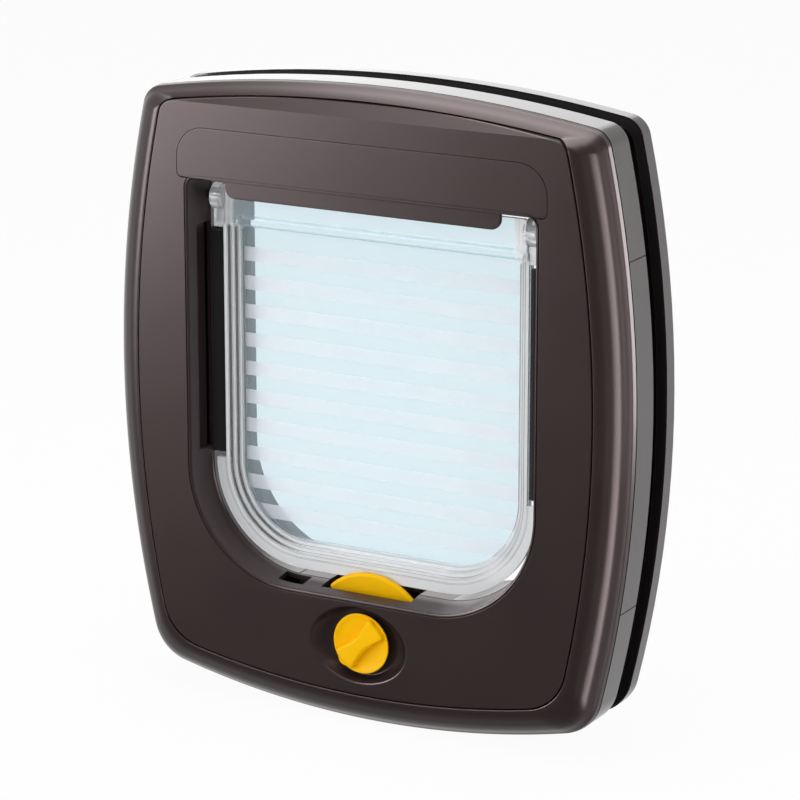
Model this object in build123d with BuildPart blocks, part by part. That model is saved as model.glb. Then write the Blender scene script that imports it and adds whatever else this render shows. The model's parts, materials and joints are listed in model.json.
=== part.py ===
"""Four-way pet door, an interior housing and an exterior frame clamped on a thin door.

All sizes are millimetres. X runs across the door, Z up, and Y from the room to the outside.
The door's inner face is the plane y = 0, and the part is centred on the origin.
"""
import os

from build123d import *

# Outline shared by the interior and the exterior frames
width = 225.0
height = 252.0
widest_z = 6.7
side_curve = 0.001088
top_curve = 0.00088
bottom_curve = 0.00138
top_corner = 9.0
bottom_corner = 18.0
corner_shrink = 0.3

# Depths, counted from the door's faces or from the face panel's front
door_gap = 12.0
inner_depth = 25.0
outer_depth = 13.0
trim_depth = 11.0
lip_line_depth = 7.5
lip_line_inset = 1.5
crown_depth = 3.2
crown_inset = 5.0
crown_flat = 1.4
outer_rim_drop = 6.6
outer_crown_drop = 2.2
outer_crown_inset = 5.0

# Wall thicknesses
housing_wall = 2.2
plate = 2.0
panel_plate = 2.5
trim_wall = 2.4
sleeve_wall = 1.8
rib = 1.6

# Gaps between pieces of the housing
seam = 0.3
groove = 0.5
hairline = 0.15
telescope_gap = 0.3
sleeve_seat_gap = 0.2
shadow_line = 0.4

# Trim frame
trim_hollow_depth = 7.8
crown_hollow_depth = 5.2
crown_hollow_inset = 5.2
ledge_plate = 1.6
lip_wall = 1.7
lip_depth = 2.0
pry_start = 43.0
pry_length = 25.0
pry_height = 1.6
pry_depth = 2.0

# Face panel set in the trim frame
panel_side = 12.7
panel_top = 5.0
panel_bottom = 13.0
panel_top_corner = 6.0
panel_bottom_corner = 20.0
crease_drop = 11.2
facet_drop = 4.4
skirt = 2.0
skirt_depth = 8.0
bead_step = 1.0
bead_width = 0.5
bead_depth = 0.4
drain_start = 27.6
drain_length = 11.4
drain_front = 4.7
drain_width = 7.3

# Passage through the door
side_margin = 39.5
head_margin = 40.0
foot_margin = 54.0
passage_corner = 42.0
passage_top_corner = 3.0
funnel_flare = 2.4
funnel_rise = 1.0
mouth_fall = 1.8
funnel_depth = 12.7
funnel_wall = 2.0
tunnel_stub = 8.0
funnel_spread = 0.2
liner_fit = 0.4
liner_flange = 1.5
liner_flange_plate = 1.8
sleeve_end_gap = 0.5

# Pockets in the funnel walls beside the draught strips
pocket_depth = 5.0
pocket_foot = 2.3
pocket_head = 3.0
pocket_sink = 1.0
pad_wall = 1.6

# Hinge cover with its header strip
cover_wing = 7.0
cover_rise = 20.0
cover_corner = 12.0
cover_foot = 2.3
cover_plate = 2.2
lid_inset = 2.0
lid_wall = 1.8
header_inset = 13.4
header_drop = 6.8
header_corner = 4.0
header_plate = 2.0
seat_plate = 1.5
seat_width = 2.5
clip_spacing = 50.0
clip_width = 8.0
clip_thickness = 1.4
clip_hook = 1.2

# Clear flap, a tray stepped back to its pane
flap_side_gap = 2.0
flap_sill_gap = 2.7
flange_width = 4.2
flange_corner = 39.5
flange_relief = 2.0
tray_lead = 1.0
tray_steps = 3
step_width = 1.93
step_depth = 2.0
tray_corner = 1.5
pane_drop = 11.8
tray_head = 4.0
band_lap = 2.4
band_lead = 1.5
band_inset = 4.0
band_corner = 2.0

# Hinge at the head of the flap
hinge_set = 1.0
hinge_drop = 9.8
ear_radius = 5.4
ear_neck = 11.9
ear_depth = 3.6
ear_thickness = 5.4
pin_radius = 2.0
pin_bite = 3.5
pin_reach = 4.5
pin_chamfer = 0.4
press_gap = 0.02
running_gap = 0.05
bush_radius = 3.2
bush_end_gap = 0.2
bearing_set = 4.0
bearing_width = 5.0
bearing_half_height = 7.0
cap_depth = 6.0
cap_round = 1.2
pin_window = 2.7

# Screws that hold the bearing caps
cap_screw_radius = 1.1
cap_screw_head = 2.0
cap_screw_sink = 1.2
cap_screw_offset = 5.2
cap_screw_length = 10.0

# Draught strips and their holders
holder_low = -27.0
holder_head_gap = 13.2
holder_wall = 0.7
holder_arm = 4.6
holder_depth = 4.4
strip_gap = 0.4
strip_end_gap = 0.4
strip_taper = 1.6
strip_tip = 0.8
peg_radius = 1.2
peg_set = 2.8
peg_heights = (-12.0, 48.0)

# Dial that raises and lowers the two cams
dial_drop = 20.2
knob_radius = 12.2
knob_sink = 2.0
knob_disc = 2.9
knob_scoop = 1.6
knob_rim = 0.9
grip_sink = 0.4
grip_turn = 45.0
grip_waist = 2.3
grip_end = 4.2
grip_reach = 10.6
pointer_half = 2.6
pointer_stand = 0.8
pointer_depth = 1.5
hub_radius = 6.0
spindle_radius = 4.0
spindle_sink = 4.8
spindle_end_gap = 0.4
dish_half_x = 21.0
dish_half_z = 15.25
dish_depth = 5.4
dish_floor_radius = 13.4
dish_wall = 1.8
dial_boss_radius = 7.0
detent_square = 9.0
detent_round = 1.5
detent_width = 2.8
detent_gap = 0.4
spring_thickness = 0.4
spring_width = 2.2
spring_span = 34.0
spring_set = 6.35
spring_post = 3.0

# Cams and the slot in the sill that they rise through
cam_radius = 26.3
cam_sweep = 178.0
cam_plate = 2.3
cam_hub = 7.5
cam_chamfer = 0.8
cam_room = 1.2
front_cam_lead = 4.0
rear_cam_set = 2.9
rear_cam_radius = 24.9
slot_half = 20.0
slot_lead = 7.1
slot_back_set = 6.2

# Sill plate and the two magnets
sill_half = 34.0
sill_depth = 7.8
sill_plate_thickness = 1.6
web_drop = 9.5
web_head = 1.3
web_thickness = 1.0
sill_magnet_half = 8.0
sill_magnet_height = 4.0
sill_magnet_thickness = 1.6
flap_magnet_half = 7.0
flap_magnet_height = 2.0
lug_length = 9.0
lug_height = 2.6

# Fixing screws through the door
screw_shift = 4.75
screw_drop = 38.0
screw_radius = 2.0
screw_head_radius = 4.0
screw_head_height = 2.2
screw_reach = 8.0
boss_radius = 5.0

# Ribs and seams of the base
side_ribs = (-40.0, 40.0)
wall_seams = (70.0, -65.6)
seam_depth = 0.6

# Exterior seal
gasket_inset = 0.8
gasket_width = 3.4
gasket_thickness = 1.2
gasket_fit = 0.05
frame_rim = 4.5

# Stations along Y worked out from the depths
face_y = -inner_depth
trim_rear_y = face_y + trim_depth
ledge_y = face_y + skirt_depth
funnel_end_y = face_y + funnel_depth
stub_front_y = funnel_end_y + seam
facet_y = face_y + facet_drop
pocket_front_y = face_y + pocket_depth
dish_floor_y = face_y + dish_depth
knob_face_y = face_y + knob_sink
knob_back_y = knob_face_y + knob_disc
spindle_front_y = face_y + spindle_sink
tray_front_y = stub_front_y - tray_lead
band_front_y = tray_front_y - band_lead
pane_y = tray_front_y + tray_steps * step_depth
hinge_y = stub_front_y + hinge_set
holder_front_y = stub_front_y - tray_lead
holder_back_y = holder_front_y + holder_depth
peg_y = holder_front_y + peg_set
front_cam_y = stub_front_y - front_cam_lead
rear_cam_y = stub_front_y + rear_cam_set
detent_front_y = rear_cam_y + cam_plate + detent_gap
detent_back_y = detent_front_y + detent_width
sill_back_y = stub_front_y + sill_depth
slot_front_y = stub_front_y - slot_lead
slot_back_y = stub_front_y + slot_back_set
drain_front_y = face_y + drain_front
web_back_y = stub_front_y + web_thickness
outer_face_y = door_gap + outer_depth
frame_seat_y = outer_face_y - housing_wall
screw_end_y = door_gap + screw_reach

# Heights worked out from the passage and the outline
passage_top = height / 2 - head_margin
passage_bottom = -height / 2 + foot_margin
panel_top_z = height / 2 - panel_top
crease_z = height / 2 - crease_drop
mouth_top = passage_top - funnel_rise
cover_top = mouth_top + cover_rise
header_low = mouth_top - header_drop
hinge_z = passage_top - hinge_drop
flap_low = passage_bottom + flap_sill_gap
flap_top = hinge_z + ear_radius
pane_top = hinge_z - pane_drop
tray_top = pane_top + tray_head
holder_high = hinge_z - holder_head_gap
flange_side_top = holder_low - flange_relief
dial_z = passage_bottom - dial_drop
spring_z = dial_z - spring_set
sill_under = passage_bottom - sill_plate_thickness
web_low = passage_bottom - web_drop
magnet_z = web_low + web_head
screw_z = height / 2 - screw_drop

# Half widths worked out from the passage and the outline
passage_half = width / 2 - side_margin
flap_half = passage_half - flap_side_gap
rim_half = flap_half - flange_width
cover_half = passage_half + cover_wing
lid_half = passage_half - lid_inset
header_half = passage_half - header_inset
bearing_start = passage_half + bearing_set
bearing_end = bearing_start + bearing_width
cap_screw_x = bearing_start + bearing_width / 2
pin_start = flap_half - pin_bite
pin_end = bearing_start + pin_reach
screw_x = (passage_half + width / 2) / 2 - screw_shift
sleeve_inner = housing_wall + telescope_gap
sleeve_seat = sleeve_inner + sleeve_wall + sleeve_seat_gap
liner_hole = sleeve_inner + sleeve_wall + liner_fit
lip_inset = housing_wall + seam

# Crowns, as pairs of inset from the outline and depth behind the face
crown = (
    (0.0, trim_depth),
    (lip_line_inset, lip_line_depth),
    (crown_inset, crown_depth),
    (panel_side - crown_flat, 0.0),
)
rear_crown = ((0.0, outer_rim_drop), (outer_crown_inset, outer_crown_drop), (panel_side, 0.0))


def front(y):
    """Plane parallel to the door, seen from the room, with local y along Z."""
    return Plane(origin=(0, y, 0), x_dir=(1, 0, 0), z_dir=(0, -1, 0))


def across(x):
    """Plane square to the hinge axis, with local x along Y and local y along Z."""
    return Plane(origin=(x, 0, 0), x_dir=(0, 1, 0), z_dir=(1, 0, 0))


def corner_point(side_inset, edge_z, curve):
    """Where the side arc of the outline meets its top or bottom arc."""
    x = width / 2
    z = edge_z
    for _ in range(20):
        z = edge_z + curve * x**2
        x = width / 2 - side_inset - side_curve * (z - widest_z) ** 2
    return x, z


def frame_shape(side_inset, top_inset, bottom_inset, top_radius, bottom_radius):
    """Barrel-sided outline, drawn in from the frame's edge by the given insets."""
    top_z = height / 2 - top_inset
    bottom_z = -height / 2 + bottom_inset
    top_x, shoulder_z = corner_point(side_inset, top_z, -top_curve)
    bottom_x, foot_z = corner_point(side_inset, bottom_z, bottom_curve)
    side_x = width / 2 - side_inset
    with BuildSketch(mode=Mode.PRIVATE) as shape:
        with BuildLine():
            ThreePointArc((-top_x, shoulder_z), (0, top_z), (top_x, shoulder_z))
            ThreePointArc((top_x, shoulder_z), (side_x, widest_z), (bottom_x, foot_z))
            ThreePointArc((bottom_x, foot_z), (0, bottom_z), (-bottom_x, foot_z))
            ThreePointArc((-bottom_x, foot_z), (-side_x, widest_z), (-top_x, shoulder_z))
        make_face()
        fillet(shape.vertices().group_by(Axis.Y)[-1], top_radius)
        fillet(shape.vertices().group_by(Axis.Y)[0], bottom_radius)
    return shape.sketch_local


def outline(inset=0.0):
    """Outline of both frames, moved in evenly, with corners that tighten as it shrinks."""
    top_radius = top_corner - corner_shrink * inset
    bottom_radius = bottom_corner - corner_shrink * inset
    return frame_shape(inset, inset, inset, top_radius, bottom_radius)


def panel_shape(inset=0.0):
    """Outline of the face panel inside the trim frame."""
    return frame_shape(
        panel_side + inset,
        panel_top + inset,
        panel_bottom + inset,
        panel_top_corner,
        panel_bottom_corner,
    )


def arch_shape(half, low, high, low_radius, high_radius):
    """Rectangle with one radius at its foot and another at its head."""
    with BuildSketch(mode=Mode.PRIVATE) as shape:
        with Locations((0, (low + high) / 2)):
            Rectangle(2 * half, high - low)
        if low_radius:
            fillet(shape.vertices().group_by(Axis.Y)[0], low_radius)
        if high_radius:
            fillet(shape.vertices().group_by(Axis.Y)[-1], high_radius)
    return shape.sketch_local


def passage_shape(grow=0.0):
    """Section of the passage through the door, grown outward evenly."""
    return arch_shape(
        passage_half + grow,
        passage_bottom - grow,
        passage_top + grow,
        passage_corner + grow,
        passage_top_corner + grow,
    )


def mouth_shape(grow=0.0):
    """Section of the funnel at the face panel, grown outward evenly."""
    return arch_shape(
        passage_half + funnel_flare + grow,
        passage_bottom - mouth_fall - grow,
        mouth_top + grow,
        passage_corner + funnel_flare + grow,
        passage_top_corner + 2.5 * funnel_spread + grow,
    )


def throat_shape(grow=0.0):
    """Section of the funnel where it meets the liner, a touch wider than the passage."""
    return arch_shape(
        passage_half + funnel_spread + grow,
        passage_bottom - funnel_spread / 2 - grow,
        mouth_top + grow,
        passage_corner + grow,
        passage_top_corner + funnel_spread + grow,
    )


def cover_shape(grow=0.0):
    """Outline of the hinge cover, or of its recess when grown."""
    return arch_shape(
        cover_half + grow,
        mouth_top - grow,
        cover_top + grow,
        cover_foot + grow,
        cover_corner + grow,
    )


def tray_shape(inset, high):
    """Outline of one step of the flap's tray, drawn in from the flange's edge."""
    return arch_shape(flap_half - inset, flap_low + inset, high, flange_corner - inset, tray_corner)


def crowned_solid(edge_y, direction, profile):
    """Solid under a crowned front, lofted outline by outline along the profile."""
    with BuildPart(mode=Mode.PRIVATE) as solid:
        for (inset, depth), (next_inset, next_depth) in zip(profile, profile[1:]):
            with BuildSketch(front(edge_y + direction * depth)):
                add(outline(inset))
            with BuildSketch(front(edge_y + direction * next_depth)):
                add(outline(next_inset))
            loft()
    return solid.part


def sector_shape(radius, sweep, middle, hub):
    """Sector of a disc about the origin, with a round hub, its middle at the given angle."""
    with BuildSketch(mode=Mode.PRIVATE) as shape:
        with BuildLine():
            start = middle - sweep / 2
            arc = CenterArc((0, 0), radius, start, sweep)
            Line(arc @ 1, (0, 0))
            Line((0, 0), arc @ 0)
        make_face()
        Circle(hub)
    return shape.sketch_local


def grip_shape():
    """Waisted bar of the knob's grip, upright about the origin."""
    with BuildSketch(mode=Mode.PRIVATE) as shape:
        with BuildLine():
            Polyline(
                (-grip_end, -grip_reach),
                (-grip_waist, 0),
                (-grip_end, grip_reach),
                (grip_end, grip_reach),
                (grip_waist, 0),
                (grip_end, -grip_reach),
                close=True,
            )
        make_face()
    return shape.sketch_local


def rod(x_start, x_end, y, z, radius):
    """Round rod along X between two stations."""
    with BuildPart(mode=Mode.PRIVATE) as solid:
        with BuildSketch(across(x_start)):
            with Locations((y, z)):
                Circle(radius)
        extrude(amount=x_end - x_start)
    return solid.part


def block(x_range, y_range, z_range):
    """Rectangular block given by its low and high stations on each axis."""
    with BuildPart(mode=Mode.PRIVATE) as solid:
        with BuildSketch(Plane.XY.offset(z_range[0])):
            with Locations((sum(x_range) / 2, sum(y_range) / 2)):
                Rectangle(x_range[1] - x_range[0], y_range[1] - y_range[0])
        extrude(amount=z_range[1] - z_range[0])
    return solid.part


def both_sides(x_range):
    """The same stretch of X on the right and on the left of the middle."""
    return (x_range, (-x_range[1], -x_range[0]))


# Trim frame around the face panel, with a crowned front and a drafted lip
with BuildPart() as trim_frame:
    add(crowned_solid(face_y, 1, crown))
    with BuildSketch(front(trim_rear_y)):
        add(panel_shape())
    extrude(amount=trim_depth + 1, mode=Mode.SUBTRACT)
    # Hollow behind the crown, in two steps that follow its slope
    for inset, skin_depth in ((trim_wall, trim_hollow_depth), (crown_hollow_inset, crown_hollow_depth)):
        with BuildSketch(front(trim_rear_y)):
            add(outline(inset))
            add(panel_shape(-trim_wall), mode=Mode.SUBTRACT)
            with Locations((0, height / 2)):
                Rectangle(width, 2 * (panel_top + panel_top_corner), mode=Mode.SUBTRACT)
        extrude(amount=trim_depth - skin_depth, mode=Mode.SUBTRACT)
    # Ledge that the face panel's skirt rests on
    with BuildSketch(front(ledge_y + ledge_plate)):
        add(panel_shape(-1.0))
        add(panel_shape(groove + skirt), mode=Mode.SUBTRACT)
    extrude(amount=ledge_plate)
    # Room behind the ledge for the screw heads, and below for the front cam
    with BuildSketch(front(trim_rear_y)):
        add(outline(lip_inset + lip_wall))
    extrude(amount=trim_rear_y - ledge_y - ledge_plate, mode=Mode.SUBTRACT)
    cam_room_z = (dial_z - cam_radius - cam_room, -height / 2 + panel_bottom + cam_hub)
    cam_room_x = (-cam_radius - cam_room, cam_radius + cam_room)
    add(block(cam_room_x, (ledge_y - seam, trim_rear_y), cam_room_z), mode=Mode.SUBTRACT)
    # Locating lip that enters the base
    with BuildSketch(front(trim_rear_y)):
        add(outline(1.0))
        add(outline(lip_inset + lip_wall), mode=Mode.SUBTRACT)
    extrude(amount=ledge_plate)
    with BuildSketch(front(trim_rear_y + lip_depth)):
        add(outline(lip_inset))
        add(outline(lip_inset + lip_wall), mode=Mode.SUBTRACT)
    extrude(amount=lip_depth)
    # Two notches in the lower edge, to prise the trim off
    pry_end = pry_start + pry_length
    for x_range in both_sides((pry_start, pry_end)):
        notch_z = (-height / 2 - 1, -height / 2 + bottom_curve * pry_end**2 + pry_height)
        add(block(x_range, (trim_rear_y - pry_depth, trim_rear_y + 0.01), notch_z), mode=Mode.SUBTRACT)

# Face panel with its funnel, the recess for the hinge cover and the dial's dish
with BuildPart() as face_panel:
    with BuildSketch(front(face_y + panel_plate)):
        add(panel_shape(groove))
    extrude(amount=panel_plate)
    with BuildSketch(front(ledge_y)):
        add(panel_shape(groove))
        add(panel_shape(groove + skirt), mode=Mode.SUBTRACT)
    extrude(amount=skirt_depth)
    # Sloping facet along the top, on a thicker head
    with BuildSketch(front(facet_y + panel_plate)):
        add(panel_shape(groove))
        with Locations((0, 0)):
            Rectangle(width, 2 * (crease_z - 3), mode=Mode.SUBTRACT)
    extrude(amount=facet_drop + panel_plate)
    with BuildSketch(across(-width / 2)):
        with BuildLine():
            Polyline(
                (face_y, crease_z),
                (facet_y, panel_top_z),
                (facet_y, panel_top_z + 5),
                (face_y - 1, panel_top_z + 5),
                (face_y - 1, crease_z),
                close=True,
            )
        make_face()
    extrude(amount=width, mode=Mode.SUBTRACT)
    # Funnel wall, padded outside where the pockets are sunk
    with BuildSketch(front(face_y + 0.5)):
        add(mouth_shape(funnel_wall))
    with BuildSketch(front(funnel_end_y)):
        add(throat_shape(funnel_wall))
    loft()
    pad_x = (passage_half + 1.0, bearing_start)
    pocket_x = (passage_half - 1.0, passage_half + funnel_flare)
    pocket_z = (holder_low + pocket_foot, holder_high + pocket_head)
    pad_z = (pocket_z[0] - pad_wall, pocket_z[1] + pad_wall)
    for x_range in both_sides(pad_x):
        add(block(x_range, (pocket_front_y - pocket_sink, funnel_end_y), pad_z))
    # Seat behind the hinge cover
    with BuildSketch(front(face_y + cover_plate + seat_plate)):
        add(cover_shape(seat_width))
    extrude(amount=seat_plate)
    # Dish round the knob
    with BuildSketch(front(face_y + panel_plate)):
        with Locations((0, dial_z)):
            Ellipse(dish_half_x + dish_wall, dish_half_z + dish_wall)
    with BuildSketch(front(dish_floor_y + dish_wall)):
        with Locations((0, dial_z)):
            Circle(dish_floor_radius + dish_wall)
    loft()
    # Openings
    with BuildSketch(front(face_y)):
        add(mouth_shape())
    with BuildSketch(front(funnel_end_y)):
        add(throat_shape())
    loft(mode=Mode.SUBTRACT)
    for x_range in both_sides(pocket_x):
        add(block(x_range, (pocket_front_y, funnel_end_y), pocket_z), mode=Mode.SUBTRACT)
    with BuildSketch(front(face_y + cover_plate)):
        add(cover_shape(hairline))
    extrude(amount=cover_plate + 1, mode=Mode.SUBTRACT)
    with BuildSketch(front(face_y + cover_plate + seat_plate)):
        seat_z = (mouth_top - 1, cover_top - seat_width)
        add(arch_shape(cover_half - seat_width, *seat_z, 0, cover_corner - seat_width))
    extrude(amount=seat_plate + 1, mode=Mode.SUBTRACT)
    lid_cut = (mouth_top - hairline, mouth_top + seat_width + lid_wall)
    add(block((-lid_half - seam, lid_half + seam), (face_y, funnel_end_y), lid_cut), mode=Mode.SUBTRACT)
    with BuildSketch(front(face_y)):
        with Locations((0, dial_z)):
            Ellipse(dish_half_x, dish_half_z)
    with BuildSketch(front(dish_floor_y)):
        with Locations((0, dial_z)):
            Circle(dish_floor_radius)
    loft(mode=Mode.SUBTRACT)
    with BuildSketch(front(dish_floor_y + dish_wall)):
        with Locations((0, dial_z)):
            Circle(hub_radius + running_gap)
    extrude(amount=dish_wall + 1, mode=Mode.SUBTRACT)
    # Line round the mouth, just outside its lip
    with BuildSketch(front(face_y + bead_depth)):
        add(mouth_shape(bead_step + bead_width))
        add(mouth_shape(bead_step), mode=Mode.SUBTRACT)
    extrude(amount=bead_depth + 1, mode=Mode.SUBTRACT)
    # Slot for the front cam, the drain hole beside it and the windows for the pins
    sill_cut_z = (passage_bottom - mouth_fall - funnel_wall - 1, passage_bottom + 1)
    add(block((-slot_half, slot_half), (slot_front_y, funnel_end_y), sill_cut_z), mode=Mode.SUBTRACT)
    drain_x = (-drain_start - drain_length, -drain_start)
    add(block(drain_x, (drain_front_y, drain_front_y + drain_width), sill_cut_z), mode=Mode.SUBTRACT)
    for x_range in both_sides((passage_half - 1, bearing_start + 1)):
        add(rod(*x_range, hinge_y, hinge_z, pin_window), mode=Mode.SUBTRACT)

# Hinge cover, a flush lid over the bearings that carries the header strip
with BuildPart() as hinge_cover:
    with BuildSketch(front(face_y + cover_plate)):
        add(cover_shape())
    extrude(amount=cover_plate)
    add(block((-lid_half, lid_half), (face_y + 1, funnel_end_y), (mouth_top, mouth_top + lid_wall)))
    with BuildSketch(front(face_y + cover_plate + header_plate)):
        add(arch_shape(header_half, header_low, mouth_top + lid_wall / 2, header_corner, 0))
    extrude(amount=header_plate)
    with BuildSketch(front(face_y + bead_depth)):
        add(mouth_shape(bead_step + bead_width))
        add(mouth_shape(bead_step), mode=Mode.SUBTRACT)
    extrude(amount=bead_depth + 1, mode=Mode.SUBTRACT)
    # Snap arms behind the upper edge
    arm_top = cover_top - seat_width - seam
    hook_front = face_y + cover_plate + seat_plate + telescope_gap / 3
    hook_y = (hook_front, hook_front + clip_hook)
    for arm_x in (-clip_spacing, 0, clip_spacing):
        arm = (arm_x - clip_width / 2, arm_x + clip_width / 2)
        add(block(arm, (face_y + 1, hook_y[1]), (arm_top - clip_thickness, arm_top)))
        add(block(arm, hook_y, (arm_top - clip_thickness, arm_top + clip_hook)))

# Interior base, screwed to the door, that carries the hinge and the dial
with BuildPart() as inner_base:
    with BuildSketch(front(0)):
        add(outline())
        add(outline(housing_wall), mode=Mode.SUBTRACT)
    extrude(amount=-trim_rear_y)
    with BuildSketch(front(0)):
        add(outline(housing_wall / 2))
        add(passage_shape(liner_hole), mode=Mode.SUBTRACT)
    extrude(amount=plate)
    with BuildSketch(front(0)):
        with GridLocations(2 * screw_x, 2 * screw_z, 2, 2):
            Circle(boss_radius)
    extrude(amount=-stub_front_y)
    # Ribs that tie the side walls to the plate
    rib_x = (bearing_end, width / 2 - 2 * housing_wall)
    for rib_z in side_ribs:
        for x_range in both_sides(rib_x):
            add(block(x_range, (stub_front_y + plate, -plate / 2), (rib_z - rib / 2, rib_z + rib / 2)))
    # Rear halves of the hinge bearings
    bearing_z = (hinge_z - bearing_half_height, hinge_z + bearing_half_height)
    for x_range in both_sides((bearing_start, bearing_end)):
        add(block(x_range, (hinge_y, -plate / 2), bearing_z))
    # Rear bearing of the dial, and the posts of its spring
    with BuildSketch(front(-plate / 2)):
        with Locations((0, dial_z)):
            Circle(dial_boss_radius)
    extrude(amount=-detent_back_y - plate / 2 - seam)
    post_x = (spring_span / 2 - spring_post / 2, spring_span / 2 + spring_post / 2)
    for x_range in both_sides(post_x):
        post_z = (spring_z - spring_post, spring_z + spring_post)
        add(block(x_range, (detent_front_y, -plate / 2), post_z))
    # Holes for the screws, the spindle and the bushes
    with BuildSketch(front(1)):
        with GridLocations(2 * screw_x, 2 * screw_z, 2, 2):
            Circle(screw_radius + press_gap)
    extrude(amount=1 - stub_front_y, mode=Mode.SUBTRACT)
    with BuildSketch(front(1)):
        with Locations((0, dial_z)):
            Circle(spindle_radius + running_gap)
    extrude(amount=1 - detent_front_y, mode=Mode.SUBTRACT)
    for x_range in both_sides((post_x[0] - 1, post_x[1] + 1)):
        slit_z = (spring_z - spring_thickness / 2, spring_z + spring_thickness / 2)
        slit_y = (detent_front_y - 1, detent_front_y + seam + spring_width)
        add(block(x_range, slit_y, slit_z), mode=Mode.SUBTRACT)
    for x_range in both_sides((bearing_start - 1, bearing_end + 1)):
        add(rod(*x_range, hinge_y, hinge_z, bush_radius), mode=Mode.SUBTRACT)
    with BuildSketch(front(hinge_y + cap_screw_length - cap_depth)):
        for cap_x in (cap_screw_x, -cap_screw_x):
            with Locations((cap_x, hinge_z)):
                with GridLocations(1, 2 * cap_screw_offset, 1, 2):
                    Circle(cap_screw_radius + press_gap)
    extrude(amount=cap_screw_length, mode=Mode.SUBTRACT)
    # Shadow line at the front edge and the seams in the side walls
    with BuildSketch(front(trim_rear_y + shadow_line)):
        add(outline(-1.0))
        add(outline(shadow_line), mode=Mode.SUBTRACT)
    extrude(amount=shadow_line, mode=Mode.SUBTRACT)
    for seam_z in wall_seams:
        wall_x = width / 2 - side_curve * (seam_z - widest_z) ** 2
        for x_range in both_sides((wall_x - seam_depth, wall_x + 2)):
            seam_cut_z = (seam_z - shadow_line / 2, seam_z + shadow_line / 2)
            add(block(x_range, (trim_rear_y - 1, 1), seam_cut_z), mode=Mode.SUBTRACT)

# Liner of the passage, set in the base from the room with its flange on the base's plate
with BuildPart() as inner_liner:
    with BuildSketch(front(tunnel_stub)):
        add(passage_shape(housing_wall))
        add(passage_shape(), mode=Mode.SUBTRACT)
    extrude(amount=tunnel_stub - stub_front_y)
    with BuildSketch(front(-plate)):
        add(passage_shape(liner_hole + liner_flange))
        add(passage_shape(housing_wall / 2), mode=Mode.SUBTRACT)
    extrude(amount=liner_flange_plate)
    # Lugs under the sill plate
    for x_range in both_sides((sill_half - lug_length / 2, sill_half + lug_length / 2)):
        lug_z = (sill_under - lug_height, sill_under)
        add(block(x_range, (web_back_y + seam, sill_back_y), lug_z))
    # Room in the flange for the bearings, and the windows for the pins
    for x_range in both_sides((bearing_start - seam, bearing_end + 1)):
        room_z = (bearing_z[0] - seam, bearing_z[1] + seam)
        add(block(x_range, (stub_front_y, 0), room_z), mode=Mode.SUBTRACT)
    for x_range in both_sides((passage_half - 1, bearing_start)):
        add(rod(*x_range, hinge_y, hinge_z, pin_window), mode=Mode.SUBTRACT)
    # Seat of the sill plate, its web and the cams
    sill_gap_x = (-sill_half - seam, sill_half + seam)
    gap_front_y = stub_front_y - 1
    sill_gap_z = (sill_under, passage_bottom + 1)
    add(block(sill_gap_x, (gap_front_y, sill_back_y + seam), sill_gap_z), mode=Mode.SUBTRACT)
    web_gap_z = (passage_bottom - housing_wall - 1, passage_bottom)
    add(block(sill_gap_x, (gap_front_y, web_back_y + seam), web_gap_z), mode=Mode.SUBTRACT)
    cam_gap_x = (-slot_half - 1, slot_half + 1)
    add(block(cam_gap_x, (gap_front_y, sill_back_y + seam), web_gap_z), mode=Mode.SUBTRACT)
    # Holes for the pegs of the strip holders
    for peg_z in peg_heights:
        for x_range in both_sides((passage_half - 1, passage_half + housing_wall + 1)):
            add(rod(*x_range, peg_y, peg_z, peg_radius + running_gap), mode=Mode.SUBTRACT)

# Sill plate between the cams, with the web that holds the sill magnet
with BuildPart() as sill_plate:
    add(block((-sill_half, sill_half), (stub_front_y, sill_back_y), (sill_under, passage_bottom)))
    slot_z = (sill_under - 1, passage_bottom + 1)
    add(block((-slot_half, slot_half), (stub_front_y - 1, slot_back_y), slot_z), mode=Mode.SUBTRACT)
    web_y = (stub_front_y, web_back_y)
    add(block((-sill_half, sill_half), web_y, (web_low, magnet_z + sill_magnet_height + shadow_line)))
    for x_range in both_sides((slot_half + 1, sill_half)):
        add(block(x_range, web_y, (web_low, passage_bottom - sill_plate_thickness / 2)))
    window = (magnet_z, magnet_z + sill_magnet_height)
    window_x = (-sill_magnet_half, sill_magnet_half)
    add(block(window_x, (web_y[0] - 1, web_y[1] + 1), window), mode=Mode.SUBTRACT)

with BuildPart() as sill_magnet:
    magnet_middle = stub_front_y + web_thickness / 2
    magnet_y = (magnet_middle - sill_magnet_thickness / 2, magnet_middle + sill_magnet_thickness / 2)
    add(block((-sill_magnet_half, sill_magnet_half), magnet_y, (magnet_z, magnet_z + sill_magnet_height)))

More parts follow.
